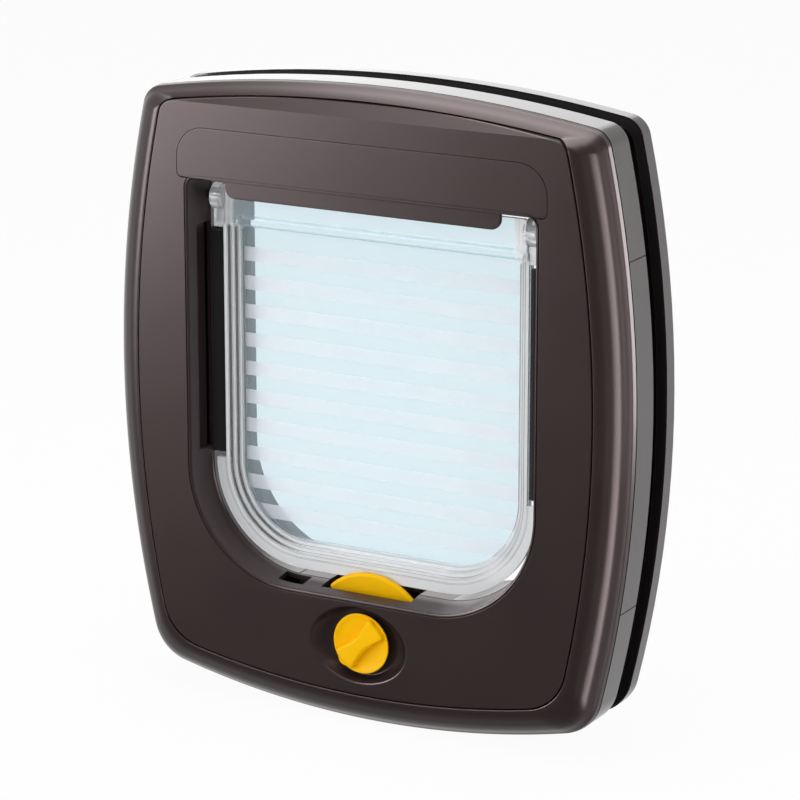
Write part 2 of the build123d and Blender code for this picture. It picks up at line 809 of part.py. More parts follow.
# Clear flap, a stepped tray with a band and two ears at its head
with BuildPart() as flap:
    for step in range(tray_steps):
        step_y = tray_front_y + (step + 1) * step_depth
        outer_inset = 0 if step == 0 else flange_width + (step - 1) * step_width
        inner_inset = flange_width + (step + 1) * step_width
        with BuildSketch(front(step_y)):
            add(tray_shape(outer_inset, tray_top))
            add(tray_shape(inner_inset, pane_top + tray_steps - 1 - step), mode=Mode.SUBTRACT)
        extrude(amount=step_depth)
    # Pane at the bottom of the tray
    with BuildSketch(front(pane_y + step_depth)):
        add(tray_shape(flange_width + (tray_steps - 1) * step_width, tray_top))
    extrude(amount=step_depth)
    # Recess in the flange beside the draught strips
    for x_range in both_sides((rim_half, flap_half + 1)):
        recess_z = (flange_side_top, tray_top + 1)
        add(block(x_range, (tray_front_y - 1, hinge_y + 1), recess_z), mode=Mode.SUBTRACT)
    with BuildSketch(front(band_front_y + step_depth)):
        add(arch_shape(flap_half - band_inset, tray_top - band_lap, flap_top, 0, band_corner))
    extrude(amount=step_depth)
    # Ears, a round head on a neck
    for x_range in both_sides((flap_half - ear_thickness, flap_half)):
        add(rod(*x_range, hinge_y, hinge_z, ear_radius))
        neck_y = (tray_front_y, tray_front_y + ear_depth)
        add(block(x_range, neck_y, (hinge_z - ear_neck, hinge_z)))
    # Blind holes for the pins and the notch for the magnet
    for x_range in both_sides((pin_start, flap_half + 1)):
        add(rod(*x_range, hinge_y, hinge_z, pin_radius + press_gap), mode=Mode.SUBTRACT)
    notch = (flap_low - 1, flap_low + flap_magnet_height)
    notch_x = (-flap_magnet_half, flap_magnet_half)
    add(block(notch_x, (tray_front_y - 1, tray_front_y + step_depth), notch), mode=Mode.SUBTRACT)

with BuildPart() as flap_magnet:
    magnet_stack_z = (flap_low, flap_low + flap_magnet_height)
    add(block(notch_x, (tray_front_y, tray_front_y + step_depth), magnet_stack_z))

# Strip holders, angles pegged to the passage walls, and the draught strips in them
web_x = (passage_half - holder_wall, passage_half)
arm_x = (passage_half - holder_arm, passage_half)
with BuildPart() as strip_holder_right:
    add(block(web_x, (holder_front_y, holder_back_y), (holder_low, holder_high)))
    add(block(arm_x, (holder_back_y - holder_wall, holder_back_y), (holder_low, holder_high)))
    for peg_z in peg_heights:
        add(rod(passage_half - holder_wall / 2, passage_half + housing_wall, peg_y, peg_z, peg_radius))
with BuildPart() as strip_holder_left:
    add(strip_holder_right.part)
    mirror(about=Plane.YZ, mode=Mode.REPLACE)

with BuildPart() as draught_strip_right:
    with BuildSketch(Plane.XY.offset(holder_low + strip_end_gap)):
        strip_front = holder_front_y + sleeve_seat_gap / 2
        strip_back = holder_back_y - holder_wall
        tip_x = rim_half + strip_gap
        with BuildLine():
            Polyline(
                (web_x[0], strip_front),
                (tip_x + strip_taper, strip_front),
                (tip_x, strip_front + strip_tip),
                (tip_x, strip_front + 2 * strip_tip),
                (tip_x + strip_taper, strip_back),
                (web_x[0], strip_back),
                close=True,
            )
        make_face()
    extrude(amount=holder_high - holder_low - 2 * strip_end_gap)
with BuildPart() as draught_strip_left:
    add(draught_strip_right.part)
    mirror(about=Plane.YZ, mode=Mode.REPLACE)

# Hinge pins pressed into the ears
with BuildPart() as pivot_pin_right:
    add(rod(pin_start, pin_end, hinge_y, hinge_z, pin_radius))
    chamfer(pivot_pin_right.edges().filter_by(GeomType.CIRCLE).group_by(Axis.X)[-1], pin_chamfer)
with BuildPart() as pivot_pin_left:
    add(pivot_pin_right.part)
    mirror(about=Plane.YZ, mode=Mode.REPLACE)

# Bearing bushes clamped between the base and the caps
with BuildPart() as bush_right:
    bush_x = (bearing_start + bush_end_gap, bearing_end - bush_end_gap)
    add(rod(*bush_x, hinge_y, hinge_z, bush_radius))
    add(rod(*bush_x, hinge_y, hinge_z, pin_radius + running_gap), mode=Mode.SUBTRACT)
with BuildPart() as bush_left:
    add(bush_right.part)
    mirror(about=Plane.YZ, mode=Mode.REPLACE)

# Bearing caps, the front halves of the hinge bearings
with BuildPart() as bearing_cap_right:
    cap_x = (bearing_start, bearing_end)
    add(block(cap_x, (hinge_y - cap_depth, hinge_y), bearing_z))
    chamfer(bearing_cap_right.edges().filter_by(Axis.X).group_by(Axis.Y)[0], cap_round)
    add(rod(cap_x[0] - 1, cap_x[1] + 1, hinge_y, hinge_z, bush_radius), mode=Mode.SUBTRACT)
    cap_face = front(hinge_y - cap_depth)
    with Locations(cap_face):
        with Locations((cap_screw_x, hinge_z)):
            with GridLocations(1, 2 * cap_screw_offset, 1, 2):
                CounterBoreHole(cap_screw_radius + press_gap, cap_screw_head + press_gap, cap_screw_sink)
with BuildPart() as bearing_cap_left:
    add(bearing_cap_right.part)
    mirror(about=Plane.YZ, mode=Mode.REPLACE)

with BuildPart() as cap_screws:
    for cap_side in (cap_screw_x, -cap_screw_x):
        with BuildSketch(front(hinge_y - cap_depth + cap_screw_sink)):
            with Locations((cap_side, hinge_z)):
                with GridLocations(1, 2 * cap_screw_offset, 1, 2):
                    Circle(cap_screw_head)
        extrude(amount=cap_screw_sink)
        with BuildSketch(front(hinge_y - cap_depth + cap_screw_length)):
            with Locations((cap_side, hinge_z)):
                with GridLocations(1, 2 * cap_screw_offset, 1, 2):
                    Circle(cap_screw_radius)
        extrude(amount=cap_screw_length - cap_screw_sink)

# Knob with a scooped face, a waisted grip and a pointer on its rim
with BuildPart() as lock_knob:
    with BuildSketch(front(knob_back_y)):
        with Locations((0, dial_z)):
            Circle(knob_radius)
    extrude(amount=knob_disc)
    with BuildSketch(front(knob_face_y + knob_scoop)):
        with Locations((0, dial_z)):
            Circle(knob_radius - knob_rim)
    extrude(amount=knob_scoop + 1, taper=-20, mode=Mode.SUBTRACT)
    with BuildSketch(front(front_cam_y)):
        with Locations((0, dial_z)):
            Circle(hub_radius)
    extrude(amount=front_cam_y - knob_back_y + 1)
    grip_foot_y = knob_face_y + knob_scoop + knob_disc / 10
    with BuildSketch(front(grip_foot_y)):
        with Locations(Location((0, dial_z, 0), (0, 0, -grip_turn))):
            add(grip_shape())
    extrude(amount=grip_foot_y - face_y - grip_sink, taper=12)
    with BuildSketch(front(knob_face_y + pointer_depth)):
        with Locations(Location((0, dial_z, 0), (0, 0, -grip_turn))):
            with Locations((0, -knob_radius)):
                Rectangle(2 * pointer_half, 2 * pointer_stand)
    extrude(amount=pointer_depth)
    with BuildSketch(front(front_cam_y)):
        with Locations((0, dial_z)):
            Circle(spindle_radius + press_gap)
    extrude(amount=front_cam_y - spindle_front_y, mode=Mode.SUBTRACT)

# Spindle with the square that the spring leaf bears on
with BuildPart() as lock_spindle:
    with BuildSketch(front(-spindle_end_gap)):
        with Locations((0, dial_z)):
            Circle(spindle_radius)
    extrude(amount=-spindle_end_gap - spindle_front_y)
    with BuildSketch(front(detent_back_y)):
        with Locations((0, dial_z)):
            RectangleRounded(detent_square, detent_square, detent_round)
    extrude(amount=detent_back_y - detent_front_y)

# Cams, two sectors a quarter turn apart
with BuildPart() as front_cam:
    with BuildSketch(front(front_cam_y + cam_plate)):
        with Locations((0, dial_z)):
            add(sector_shape(cam_radius, cam_sweep, 45, cam_hub))
    extrude(amount=cam_plate)
    round_edges = front_cam.edges().filter_by(GeomType.CIRCLE)
    rim_edges = round_edges.filter_by(lambda edge: abs(edge.radius - cam_radius) < 0.1)
    chamfer(rim_edges.group_by(Axis.Y)[0], cam_chamfer)
    with BuildSketch(front(front_cam_y + cam_plate)):
        with Locations((0, dial_z)):
            Circle(spindle_radius + press_gap)
    extrude(amount=cam_plate, mode=Mode.SUBTRACT)
with BuildPart() as rear_cam:
    with BuildSketch(front(rear_cam_y + cam_plate)):
        with Locations((0, dial_z)):
            add(sector_shape(rear_cam_radius, cam_sweep, -45, cam_hub))
    extrude(amount=cam_plate)
    # Collar that spaces the cams on the spindle
    with BuildSketch(front(rear_cam_y)):
        with Locations((0, dial_z)):
            Circle(hub_radius)
    extrude(amount=rear_cam_y - front_cam_y - cam_plate)
    with BuildSketch(front(rear_cam_y + cam_plate)):
        with Locations((0, dial_z)):
            Circle(spindle_radius + press_gap)
    extrude(amount=rear_cam_y + cam_plate - front_cam_y, mode=Mode.SUBTRACT)

# Leaf spring under the square of the spindle
with BuildPart() as detent_spring:
    leaf_y = (detent_front_y + seam, detent_front_y + seam + spring_width)
    leaf_z = (spring_z - spring_thickness / 2, spring_z + spring_thickness / 2)
    leaf_half = spring_span / 2 + spring_post / 2
    add(block((-leaf_half, leaf_half), leaf_y, leaf_z))

# Four screws that clamp the base and the exterior frame on the door
with BuildPart() as fixing_screws:
    with BuildSketch(front(stub_front_y)):
        with GridLocations(2 * screw_x, 2 * screw_z, 2, 2):
            Circle(screw_head_radius)
    extrude(amount=screw_head_height)
    with BuildSketch(front(screw_end_y)):
        with GridLocations(2 * screw_x, 2 * screw_z, 2, 2):
            Circle(screw_radius)
    extrude(amount=screw_end_y - stub_front_y)

# Exterior frame with its crowned face, seal rebate and screw bosses
with BuildPart() as outer_frame:
    with BuildSketch(front(outer_face_y - outer_rim_drop)):
        add(outline())
    extrude(amount=outer_depth - outer_rim_drop)
    add(crowned_solid(outer_face_y, -1, rear_crown))
    rim_hollow_y = outer_face_y - outer_rim_drop + seat_plate
    for inset, skin_y in ((frame_rim, rim_hollow_y), (panel_side - skirt, frame_seat_y)):
        with BuildSketch(front(skin_y)):
            add(outline(inset))
            add(passage_shape(sleeve_seat + sleeve_wall), mode=Mode.SUBTRACT)
        extrude(amount=skin_y - door_gap, mode=Mode.SUBTRACT)
    with BuildSketch(front(frame_seat_y)):
        with GridLocations(2 * screw_x, 2 * screw_z, 2, 2):
            Circle(boss_radius)
    extrude(amount=frame_seat_y - door_gap - seam)
    with BuildSketch(front(outer_face_y + 1)):
        add(passage_shape(sleeve_inner))
    extrude(amount=outer_depth + 2, mode=Mode.SUBTRACT)
    with BuildSketch(front(frame_seat_y)):
        add(passage_shape(sleeve_seat))
    extrude(amount=outer_depth, mode=Mode.SUBTRACT)
    with BuildSketch(front(screw_end_y + seam)):
        with GridLocations(2 * screw_x, 2 * screw_z, 2, 2):
            Circle(screw_radius + press_gap)
    extrude(amount=screw_end_y + seam - door_gap, mode=Mode.SUBTRACT)
    with BuildSketch(front(door_gap + gasket_thickness)):
        add(outline(gasket_inset))
        add(outline(gasket_inset + gasket_width), mode=Mode.SUBTRACT)
    extrude(amount=gasket_thickness, mode=Mode.SUBTRACT)

# Seal pressed against the door's outer face
with BuildPart() as outer_gasket:
    with BuildSketch(front(door_gap + gasket_thickness)):
        add(outline(gasket_inset + gasket_fit))
        add(outline(gasket_inset + gasket_width - gasket_fit), mode=Mode.SUBTRACT)
    extrude(amount=gasket_thickness)

# Sleeve that slides over the liner from the outside
with BuildPart() as outer_tunnel:
    with BuildSketch(front(frame_seat_y)):
        add(passage_shape(sleeve_inner + sleeve_wall))
        add(passage_shape(sleeve_inner), mode=Mode.SUBTRACT)
    extrude(amount=frame_seat_y - sleeve_end_gap)

pieces = {
    "trim_frame": trim_frame,
    "face_panel": face_panel,
    "hinge_cover": hinge_cover,
    "inner_base": inner_base,
    "inner_liner": inner_liner,
    "sill_plate": sill_plate,
    "sill_magnet": sill_magnet,
    "flap": flap,
    "flap_magnet": flap_magnet,
    "strip_holder_left": strip_holder_left,
    "strip_holder_right": strip_holder_right,
    "draught_strip_left": draught_strip_left,
    "draught_strip_right": draught_strip_right,
    "pivot_pin_left": pivot_pin_left,
    "pivot_pin_right": pivot_pin_right,
    "bush_left": bush_left,
    "bush_right": bush_right,
    "bearing_cap_left": bearing_cap_left,
    "bearing_cap_right": bearing_cap_right,
    "cap_screws": cap_screws,
    "lock_knob": lock_knob,
    "lock_spindle": lock_spindle,
    "front_cam": front_cam,
    "rear_cam": rear_cam,
    "detent_spring": detent_spring,
    "fixing_screws": fixing_screws,
    "outer_frame": outer_frame,
    "outer_gasket": outer_gasket,
    "outer_tunnel": outer_tunnel,
}

os.makedirs("parts", exist_ok=True)
for name, piece in pieces.items():
    piece.part.label = name
    export_step(piece.part, f"parts/{name}.step")
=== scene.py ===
"""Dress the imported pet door: mesh pieces, finishes, studio light and the camera.

Sizes are millimetres in the CAD frame and become metres where a mesh is made. X runs across
the door, Y from the room to the outside and Z up; the origin is the centre of the part.
"""

import json
import logging
import math
from dataclasses import dataclass, field
from enum import Enum

import bmesh
import bpy
import numpy as np
from bpy.types import ID, Material, Node, NodeSocket, Object, World
from mathutils import Matrix, Vector
from mathutils.geometry import tessellate_polygon


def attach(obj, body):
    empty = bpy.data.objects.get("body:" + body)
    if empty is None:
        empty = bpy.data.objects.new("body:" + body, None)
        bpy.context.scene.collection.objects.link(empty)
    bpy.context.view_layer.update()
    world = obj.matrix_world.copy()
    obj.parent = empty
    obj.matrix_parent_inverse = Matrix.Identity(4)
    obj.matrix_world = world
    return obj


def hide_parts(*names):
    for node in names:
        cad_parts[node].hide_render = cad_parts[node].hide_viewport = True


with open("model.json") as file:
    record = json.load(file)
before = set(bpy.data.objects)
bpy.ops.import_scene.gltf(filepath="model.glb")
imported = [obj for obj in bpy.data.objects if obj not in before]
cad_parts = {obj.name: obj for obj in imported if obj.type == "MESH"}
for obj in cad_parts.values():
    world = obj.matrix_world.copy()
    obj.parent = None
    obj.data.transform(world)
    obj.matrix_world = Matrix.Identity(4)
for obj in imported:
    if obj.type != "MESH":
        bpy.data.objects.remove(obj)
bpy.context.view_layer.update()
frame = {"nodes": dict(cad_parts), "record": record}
log = logging.getLogger("pet_door")
Array = np.ndarray
Triple = tuple[float, float, float]
MM = 0.001
WHITE = (1.0, 1.0, 1.0, 1.0)


class Body(Enum):
    """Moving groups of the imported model."""

    HOUSING = "housing"
    FLAP = "flap"
    DIAL = "dial"


# Outlines


def arc_points(centre: Array, start: Array, end: Array, count: int) -> Array:
    """Points along the short arc round a centre.

    Args:
        centre: centre of the circle.
        start: first point of the arc.
        end: last point of the arc, at the same distance from the centre.
        count: number of points, both ends among them.

    Returns:
        Array of shape (count, 2).
    """
    first = math.atan2(start[1] - centre[1], start[0] - centre[0])
    last = math.atan2(end[1] - centre[1], end[0] - centre[0])
    turn = (last - first + math.pi) % (2 * math.pi) - math.pi
    angle = first + turn * np.linspace(0.0, 1.0, count)
    radius = math.hypot(start[0] - centre[0], start[1] - centre[1])
    return np.stack([centre[0] + radius * np.cos(angle), centre[1] + radius * np.sin(angle)], 1)


def circle_through(a: tuple, b: tuple, c: tuple) -> tuple[Array, float]:
    """Centre and radius of the circle through three points.

    Args:
        a: first point.
        b: second point.
        c: third point.

    Returns:
        The centre and the radius.
    """
    rows = 2 * np.array([[b[0] - a[0], b[1] - a[1]], [c[0] - a[0], c[1] - a[1]]])
    sums = np.array([np.dot(b, b) - np.dot(a, a), np.dot(c, c) - np.dot(a, a)])
    centre = np.linalg.solve(rows, sums)
    return centre, math.hypot(a[0] - centre[0], a[1] - centre[1])


@dataclass(frozen=True)
class Ring:
    """Closed loop of points with a weight that is 1 along its head and 0 elsewhere."""

    points: Array
    head: Array


@dataclass(frozen=True)
class Barrel:
    """Barrel-sided outline that the trim, the base and the exterior frame share."""

    width: float = 225.0
    height: float = 252.0
    widest_z: float = 6.7
    side_curve: float = 0.001088
    top_curve: float = 0.00088
    bottom_curve: float = 0.00138
    head_corner: float = 9.0
    foot_corner: float = 18.0
    corner_loss: float = 0.3
    counts: tuple[int, ...] = (36, 12, 56, 16, 36)

    def corner(self, side: float, edge_z: float, curve: float) -> tuple[float, float]:
        """Where a side arc meets the head's or the foot's arc."""
        x = self.width / 2
        z = edge_z
        for _ in range(20):
            z = edge_z + curve * x**2
            x = self.width / 2 - side - self.side_curve * (z - self.widest_z) ** 2
        return x, z

    def ring(self, side: float, top: float, bottom: float, top_radius: float, bottom_radius: float) -> Ring:
        """Loop drawn in from the outline.

        Each corner is the circle that touches both arcs from inside: its centre lies at each
        arc's radius less its own from that arc's centre.

        Args:
            side: inset at the sides.
            top: inset at the head.
            bottom: inset at the foot.
            top_radius: radius of the upper corners.
            bottom_radius: radius of the lower corners.

        Returns:
            The loop, clockwise from the middle of the head.
        """
        top_z = self.height / 2 - top
        bottom_z = -self.height / 2 + bottom
        top_x, shoulder = self.corner(side, top_z, -self.top_curve)
        bottom_x, foot = self.corner(side, bottom_z, self.bottom_curve)
        side_x = self.width / 2 - side
        head_arc = circle_through((-top_x, shoulder), (0.0, top_z), (top_x, shoulder))
        side_arc = circle_through((top_x, shoulder), (side_x, self.widest_z), (bottom_x, foot))
        foot_arc = circle_through((-bottom_x, foot), (0.0, bottom_z), (bottom_x, foot))
        upper = self.touching(head_arc, side_arc, top_radius, (top_x, shoulder))
        lower = self.touching(side_arc, foot_arc, bottom_radius, (bottom_x, foot))
        centres = (head_arc[0], upper[0], side_arc[0], lower[0], foot_arc[0])
        ends = (np.array((0.0, top_z)), *upper[1:], *lower[1:], np.array((0.0, bottom_z)))
        runs = [arc_points(*arc) for arc in zip(centres, ends, ends[1:], self.counts)]
        half = np.concatenate([runs[0]] + [run[1:] for run in runs[1:]])
        fade = np.linspace(1.0, 0.0, self.counts[1])
        weight = np.concatenate([np.ones(self.counts[0]), fade[1:]])
        weight = np.pad(weight, (0, len(half) - len(weight)))
        other = half[-2:0:-1] * (-1.0, 1.0)
        return Ring(np.concatenate([half, other]), np.concatenate([weight, weight[-2:0:-1]]))

    @staticmethod
    def touching(first: tuple, second: tuple, radius: float, near: tuple) -> tuple:
        """Circle of a radius that touches two circles from inside, near a point."""
        (a, ra), (b, rb) = first, second
        da, db = ra - radius, rb - radius
        gap = math.hypot(b[0] - a[0], b[1] - a[1])
        along = (da**2 - db**2 + gap**2) / (2 * gap)
        off = math.sqrt(max(da**2 - along**2, 0.0))
        unit = (b - a) / gap
        square = np.array((-unit[1], unit[0]))
        options = [a + unit * along + square * off * sign for sign in (1, -1)]
        centre = min(options, key=lambda point: math.hypot(point[0] - near[0], point[1] - near[1]))
        return centre, a + (centre - a) * ra / da, b + (centre - b) * rb / db

    def corner_radii(self, inset: float) -> tuple[float, float]:
        """Radii of the upper and lower corners of a loop moved in evenly."""
        loss = self.corner_loss * inset
        return self.head_corner - loss, self.foot_corner - loss


@dataclass(frozen=True)
class Arch:
    """Rectangle with one radius at its foot and another at its head."""

    half: float
    low: float
    high: float
    low_radius: float
    high_radius: float
    corner_steps: int = 20
    side_steps: int = 12

    def ring(self, grow: float = 0.0) -> Array:
        """Loop grown evenly outward, clockwise from the middle of the head."""
        half, low, high = self.half + grow, self.low - grow, self.high + grow
        foot = max(self.low_radius + grow, 0.02)
        head = max(self.high_radius + grow, 0.02)
        upper = np.array((half - head, high - head))
        lower = np.array((half - foot, low + foot))
        across = np.linspace(0.0, 1.0, self.side_steps)[:, None]
        runs = [
            np.array((0.0, high)) + across * np.array((upper[0], 0.0)),
            arc_points(upper, upper + (0.0, head), upper + (head, 0.0), self.corner_steps),
            np.array((half, upper[1])) + across * np.array((0.0, lower[1] - upper[1])),
            arc_points(lower, lower + (foot, 0.0), lower - (0.0, foot), self.corner_steps),
            np.array((lower[0], low)) + across * np.array((-lower[0], 0.0)),
        ]
        points = np.concatenate([runs[0]] + [run[1:] for run in runs[1:]])
        return np.concatenate([points, points[-2:0:-1] * (-1.0, 1.0)])

    def stack(self, *stations: tuple[float, float]) -> list[Array]:
        """Loops in space from (growth, Y) pairs."""
        return [at_depth(self.ring(grow), y) for grow, y in stations]


MOUTH = Arch(75.4, -73.8, 85.0, 44.4, 4.0, 28, 16)
COVER_LID = Arch(80.0, 85.0, 105.0, 2.3, 12.0, 16, 8)


def at_depth(points: Array, y: float | Array) -> Array:
    """Set flat points, X and Z, at one or more stations along Y."""
    return np.stack([points[:, 0], np.broadcast_to(y, len(points)), points[:, 1]], 1)


def smooth_profile(knots: Array, count: int) -> Array:
    """Cubic curve through knots, with each slope taken from the knots either side.

    Args:
        knots: array of (position, value) pairs, rising in position.
        count: number of samples.

    Returns:
        Array of (position, value) samples.
    """
    x, y = knots[:, 0], knots[:, 1]
    slope = np.gradient(y, x)
    at = np.linspace(x[0], x[-1], count)
    k = np.clip(np.searchsorted(x, at) - 1, 0, len(x) - 2)
    h = x[k + 1] - x[k]
    t = (at - x[k]) / h
    value = (2 * t**3 - 3 * t**2 + 1) * y[k] + (t**3 - 2 * t**2 + t) * h * slope[k]
    value += (3 * t**2 - 2 * t**3) * y[k + 1] + (t**3 - t**2) * h * slope[k + 1]
    return np.stack([at, value], 1)


# Meshes


class Shell:
    """Surface gathered from rings and flat fills, made into one closed piece."""

    def __init__(self) -> None:
        """Start empty."""
        self.points: list[Array] = []
        self.faces: list[Array] = []
        self.total = 0

    def put(self, points: Array, faces: Array) -> None:
        """Add points, and faces that count from the first of them."""
        self.points.append(points)
        self.faces.append(faces + self.total)
        self.total += len(points)

    def loft(self, rings: list[Array], closed: bool = False) -> None:
        """Join loops of equal length with quads, and the last to the first if closed."""
        stack = np.array(rings)
        rows, count = stack.shape[:2]
        row = np.arange(rows if closed else rows - 1)[:, None]
        step = np.arange(count)[None, :]
        after = (step + 1) % count
        lower, upper = row * count, (row + 1) % rows * count
        quads = np.stack(np.broadcast_arrays(lower + step, lower + after, upper + after, upper + step), -1)
        self.put(stack.reshape(-1, 3), quads.reshape(-1, 4))

    def fill(self, outer: Array, *holes: Array) -> None:
        """Fill a flat loop, less its holes, with triangles."""
        loops = [outer, *holes]
        flat = [[Vector((point[0], point[2], 0.0)) for point in loop] for loop in loops]
        triangles = np.array(tessellate_polygon(flat))
        self.put(np.concatenate(loops), triangles)

    def closed_loft(self, rings: list[Array]) -> None:
        """Join loops and fill the first and the last."""
        self.loft(rings)
        self.fill(rings[0])
        self.fill(rings[-1])

    def piece(self, name: str, sharp: float = 32.0, weld: float = 0.004) -> Object:
        """Make the object in metres, welded, closed and with its faces outward."""
        points = np.concatenate(self.points) * MM
        data = bpy.data.meshes.new(name)
        data.from_pydata(points.tolist(), [], [face.tolist() for block in self.faces for face in block])
        work = bmesh.new()
        work.from_mesh(data)
        bmesh.ops.remove_doubles(work, verts=work.verts, dist=weld * MM)
        bmesh.ops.dissolve_degenerate(work, edges=work.edges, dist=weld * MM * 0.1)
        bmesh.ops.recalc_face_normals(work, faces=work.faces)
        work.to_mesh(data)
        work.free()
        made = add_object(name, data)
        smooth_by_angle(made, sharp)
        return made


def closed_block(name: str, rings: list[Array], sharp: float) -> Object:
    """Piece made of loops that are joined and filled at both ends."""
    shell = Shell()
    shell.closed_loft(rings)
    return shell.piece(name, sharp=sharp)


def add_object(name: str, data: ID) -> Object:
    """Make an object of a mesh, a lamp or a camera and link it to the scene."""
    made = bpy.data.objects.new(name, data)
    bpy.context.scene.collection.objects.link(made)
    return made


def smooth_by_angle(piece: Object, sharp: float) -> None:
    """Smooth the faces, keep edges over an angle sharp and let large faces set the normals."""
    piece.data.shade_smooth()
    piece.data.set_sharp_from_angle(angle=math.radians(sharp))
    weight = piece.modifiers.new("weighted_normals", "WEIGHTED_NORMAL")
    weight.keep_sharp = True


def cutter_object(name: str, work: bmesh.types.BMesh) -> Object:
    """Object of a drawn shape, with no normals or finish of its own."""
    data = bpy.data.meshes.new(name)
    work.to_mesh(data)
    work.free()
    return add_object(name, data)


def box_mesh(name: str, start: tuple, end: tuple) -> Object:
    """Plain block between two opposite corners, used as a cutter."""
    size = [abs(b - a) * MM for a, b in zip(start, end)]
    middle = [(a + b) / 2 for a, b in zip(start, end)]
    place = Matrix.Translation(Vector(middle) * MM) @ Matrix.Diagonal((*size, 1.0))
    work = bmesh.new()
    bmesh.ops.create_cube(work, size=1.0, matrix=place)
    return cutter_object(name, work)


def rod_mesh(name: str, start: tuple, end: tuple, radius: float, steps: int = 32) -> Object:
    """Plain round cutter between two points."""
    axis = Vector(end) - Vector(start)
    turn = Vector((0, 0, 1)).rotation_difference(axis).to_matrix().to_4x4()
    place = Matrix.Translation((Vector(start) + Vector(end)) / 2 * MM) @ turn
    work = bmesh.new()
    bmesh.ops.create_cone(
        work, cap_ends=True, segments=steps, radius1=radius * MM, radius2=radius * MM,
        depth=axis.length * MM, matrix=place,
    )
    return cutter_object(name, work)


def carve(piece: Object, cutters: list[Object], sharp: float) -> None:
    """Cut blocks and rods out of a piece, and delete them.

    Args:
        piece: closed object that is cut.
        cutters: closed objects that are taken away from it.
        sharp: angle over which an edge is kept sharp.
    """
    piece.modifiers.clear()
    for cutter in cutters:
        cut = piece.modifiers.new("cut", "BOOLEAN")
        cut.operation = "DIFFERENCE"
        cut.solver = "EXACT"
        cut.object = cutter
    seen = piece.evaluated_get(bpy.context.evaluated_depsgraph_get())
    data = bpy.data.meshes.new_from_object(seen)
    piece.modifiers.clear()
    piece.data = data
    smooth_by_angle(piece, sharp)
    for cutter in cutters:
        bpy.data.objects.remove(cutter)


# Finishes


class Graph:
    """Nodes of a material or of the world, added and joined in short calls."""

    def __init__(self, owner: Material | World) -> None:
        """Open the nodes of a material or a world."""
        owner.use_nodes = True
        self.nodes, self.links = owner.node_tree.nodes, owner.node_tree.links

    def feed(self, node: Node, values: dict) -> None:
        """Give inputs, by name or number, an output to follow or a fixed value."""
        for key, value in values.items():
            if isinstance(value, NodeSocket):
                self.links.new(value, node.inputs[key])
            else:
                node.inputs[key].default_value = value

    def add(self, kind: str, values: dict | None = None, **settings: str) -> Node:
        """Add a node.

        Args:
            kind: its type, without the leading ShaderNode.
            values: what its inputs get, by name or number.
            settings: its properties, such as the operation.

        Returns:
            The new node.
        """
        made = self.nodes.new(f"ShaderNode{kind}")
        for key, value in settings.items():
            setattr(made, key, value)
        self.feed(made, values or {})
        return made

    def math(self, operation: str, *values: NodeSocket | float) -> NodeSocket:
        """Result of one step of arithmetic on outputs and numbers."""
        return self.add("Math", dict(enumerate(values)), operation=operation).outputs["Value"]

    def span(self, value: NodeSocket, start: tuple, end: tuple, blend: str = "LINEAR") -> NodeSocket:
        """Value carried from one range to another."""
        limits = dict(zip(("From Min", "From Max", "To Min", "To Max"), (*start, *end)))
        return self.add("MapRange", {"Value": value, **limits}, interpolation_type=blend).outputs["Result"]


@dataclass(frozen=True)
class Finish:
    """Moulded plastic, foam or metal with fine grain and a slow change of tone."""

    name: str
    colour: Triple
    roughness: float = 0.4
    specular: float = 0.5
    metallic: float = 0.0
    grain_scale: float = 1800.0
    grain_height: float = 0.00001
    cloud_scale: float = 26.0
    tone: float = 0.06
    sheen: float = 0.0
    gloss_tint: Triple = (1.0, 1.0, 1.0)

    def material(self) -> Material:
        """Node material in object coordinates."""
        made = bpy.data.materials.new(self.name)
        graph = Graph(made)
        place = graph.add("TexCoord").outputs["Object"]
        slow = graph.add("TexNoise", {"Vector": place, "Scale": self.cloud_scale, "Detail": 3.0}).outputs["Fac"]
        fine = graph.add("TexNoise", {"Vector": place, "Scale": self.grain_scale, "Detail": 2.0})
        tones = graph.add("ValToRGB", {"Fac": slow})
        low = [channel * (1 - self.tone) for channel in self.colour]
        high = [min(channel * (1 + self.tone), 1.0) for channel in self.colour]
        for stop, colour, position in zip(tones.color_ramp.elements, (low, high), (0.3, 0.7)):
            stop.color, stop.position = (*colour, 1.0), position
        rough = graph.span(slow, (0.0, 1.0), (self.roughness * 0.92, min(self.roughness * 1.1, 1.0)))
        bump = graph.add("Bump", {
            "Height": fine.outputs["Fac"], "Strength": 0.5, "Distance": self.grain_height,
        })
        graph.feed(graph.nodes["Principled BSDF"], {
            "Base Color": tones.outputs["Color"],
            "Roughness": rough,
            "Normal": bump.outputs["Normal"],
            "Specular IOR Level": self.specular,
            "Specular Tint": (*self.gloss_tint, 1.0),
            "Metallic": self.metallic,
            "Sheen Weight": self.sheen,
        })
        return made


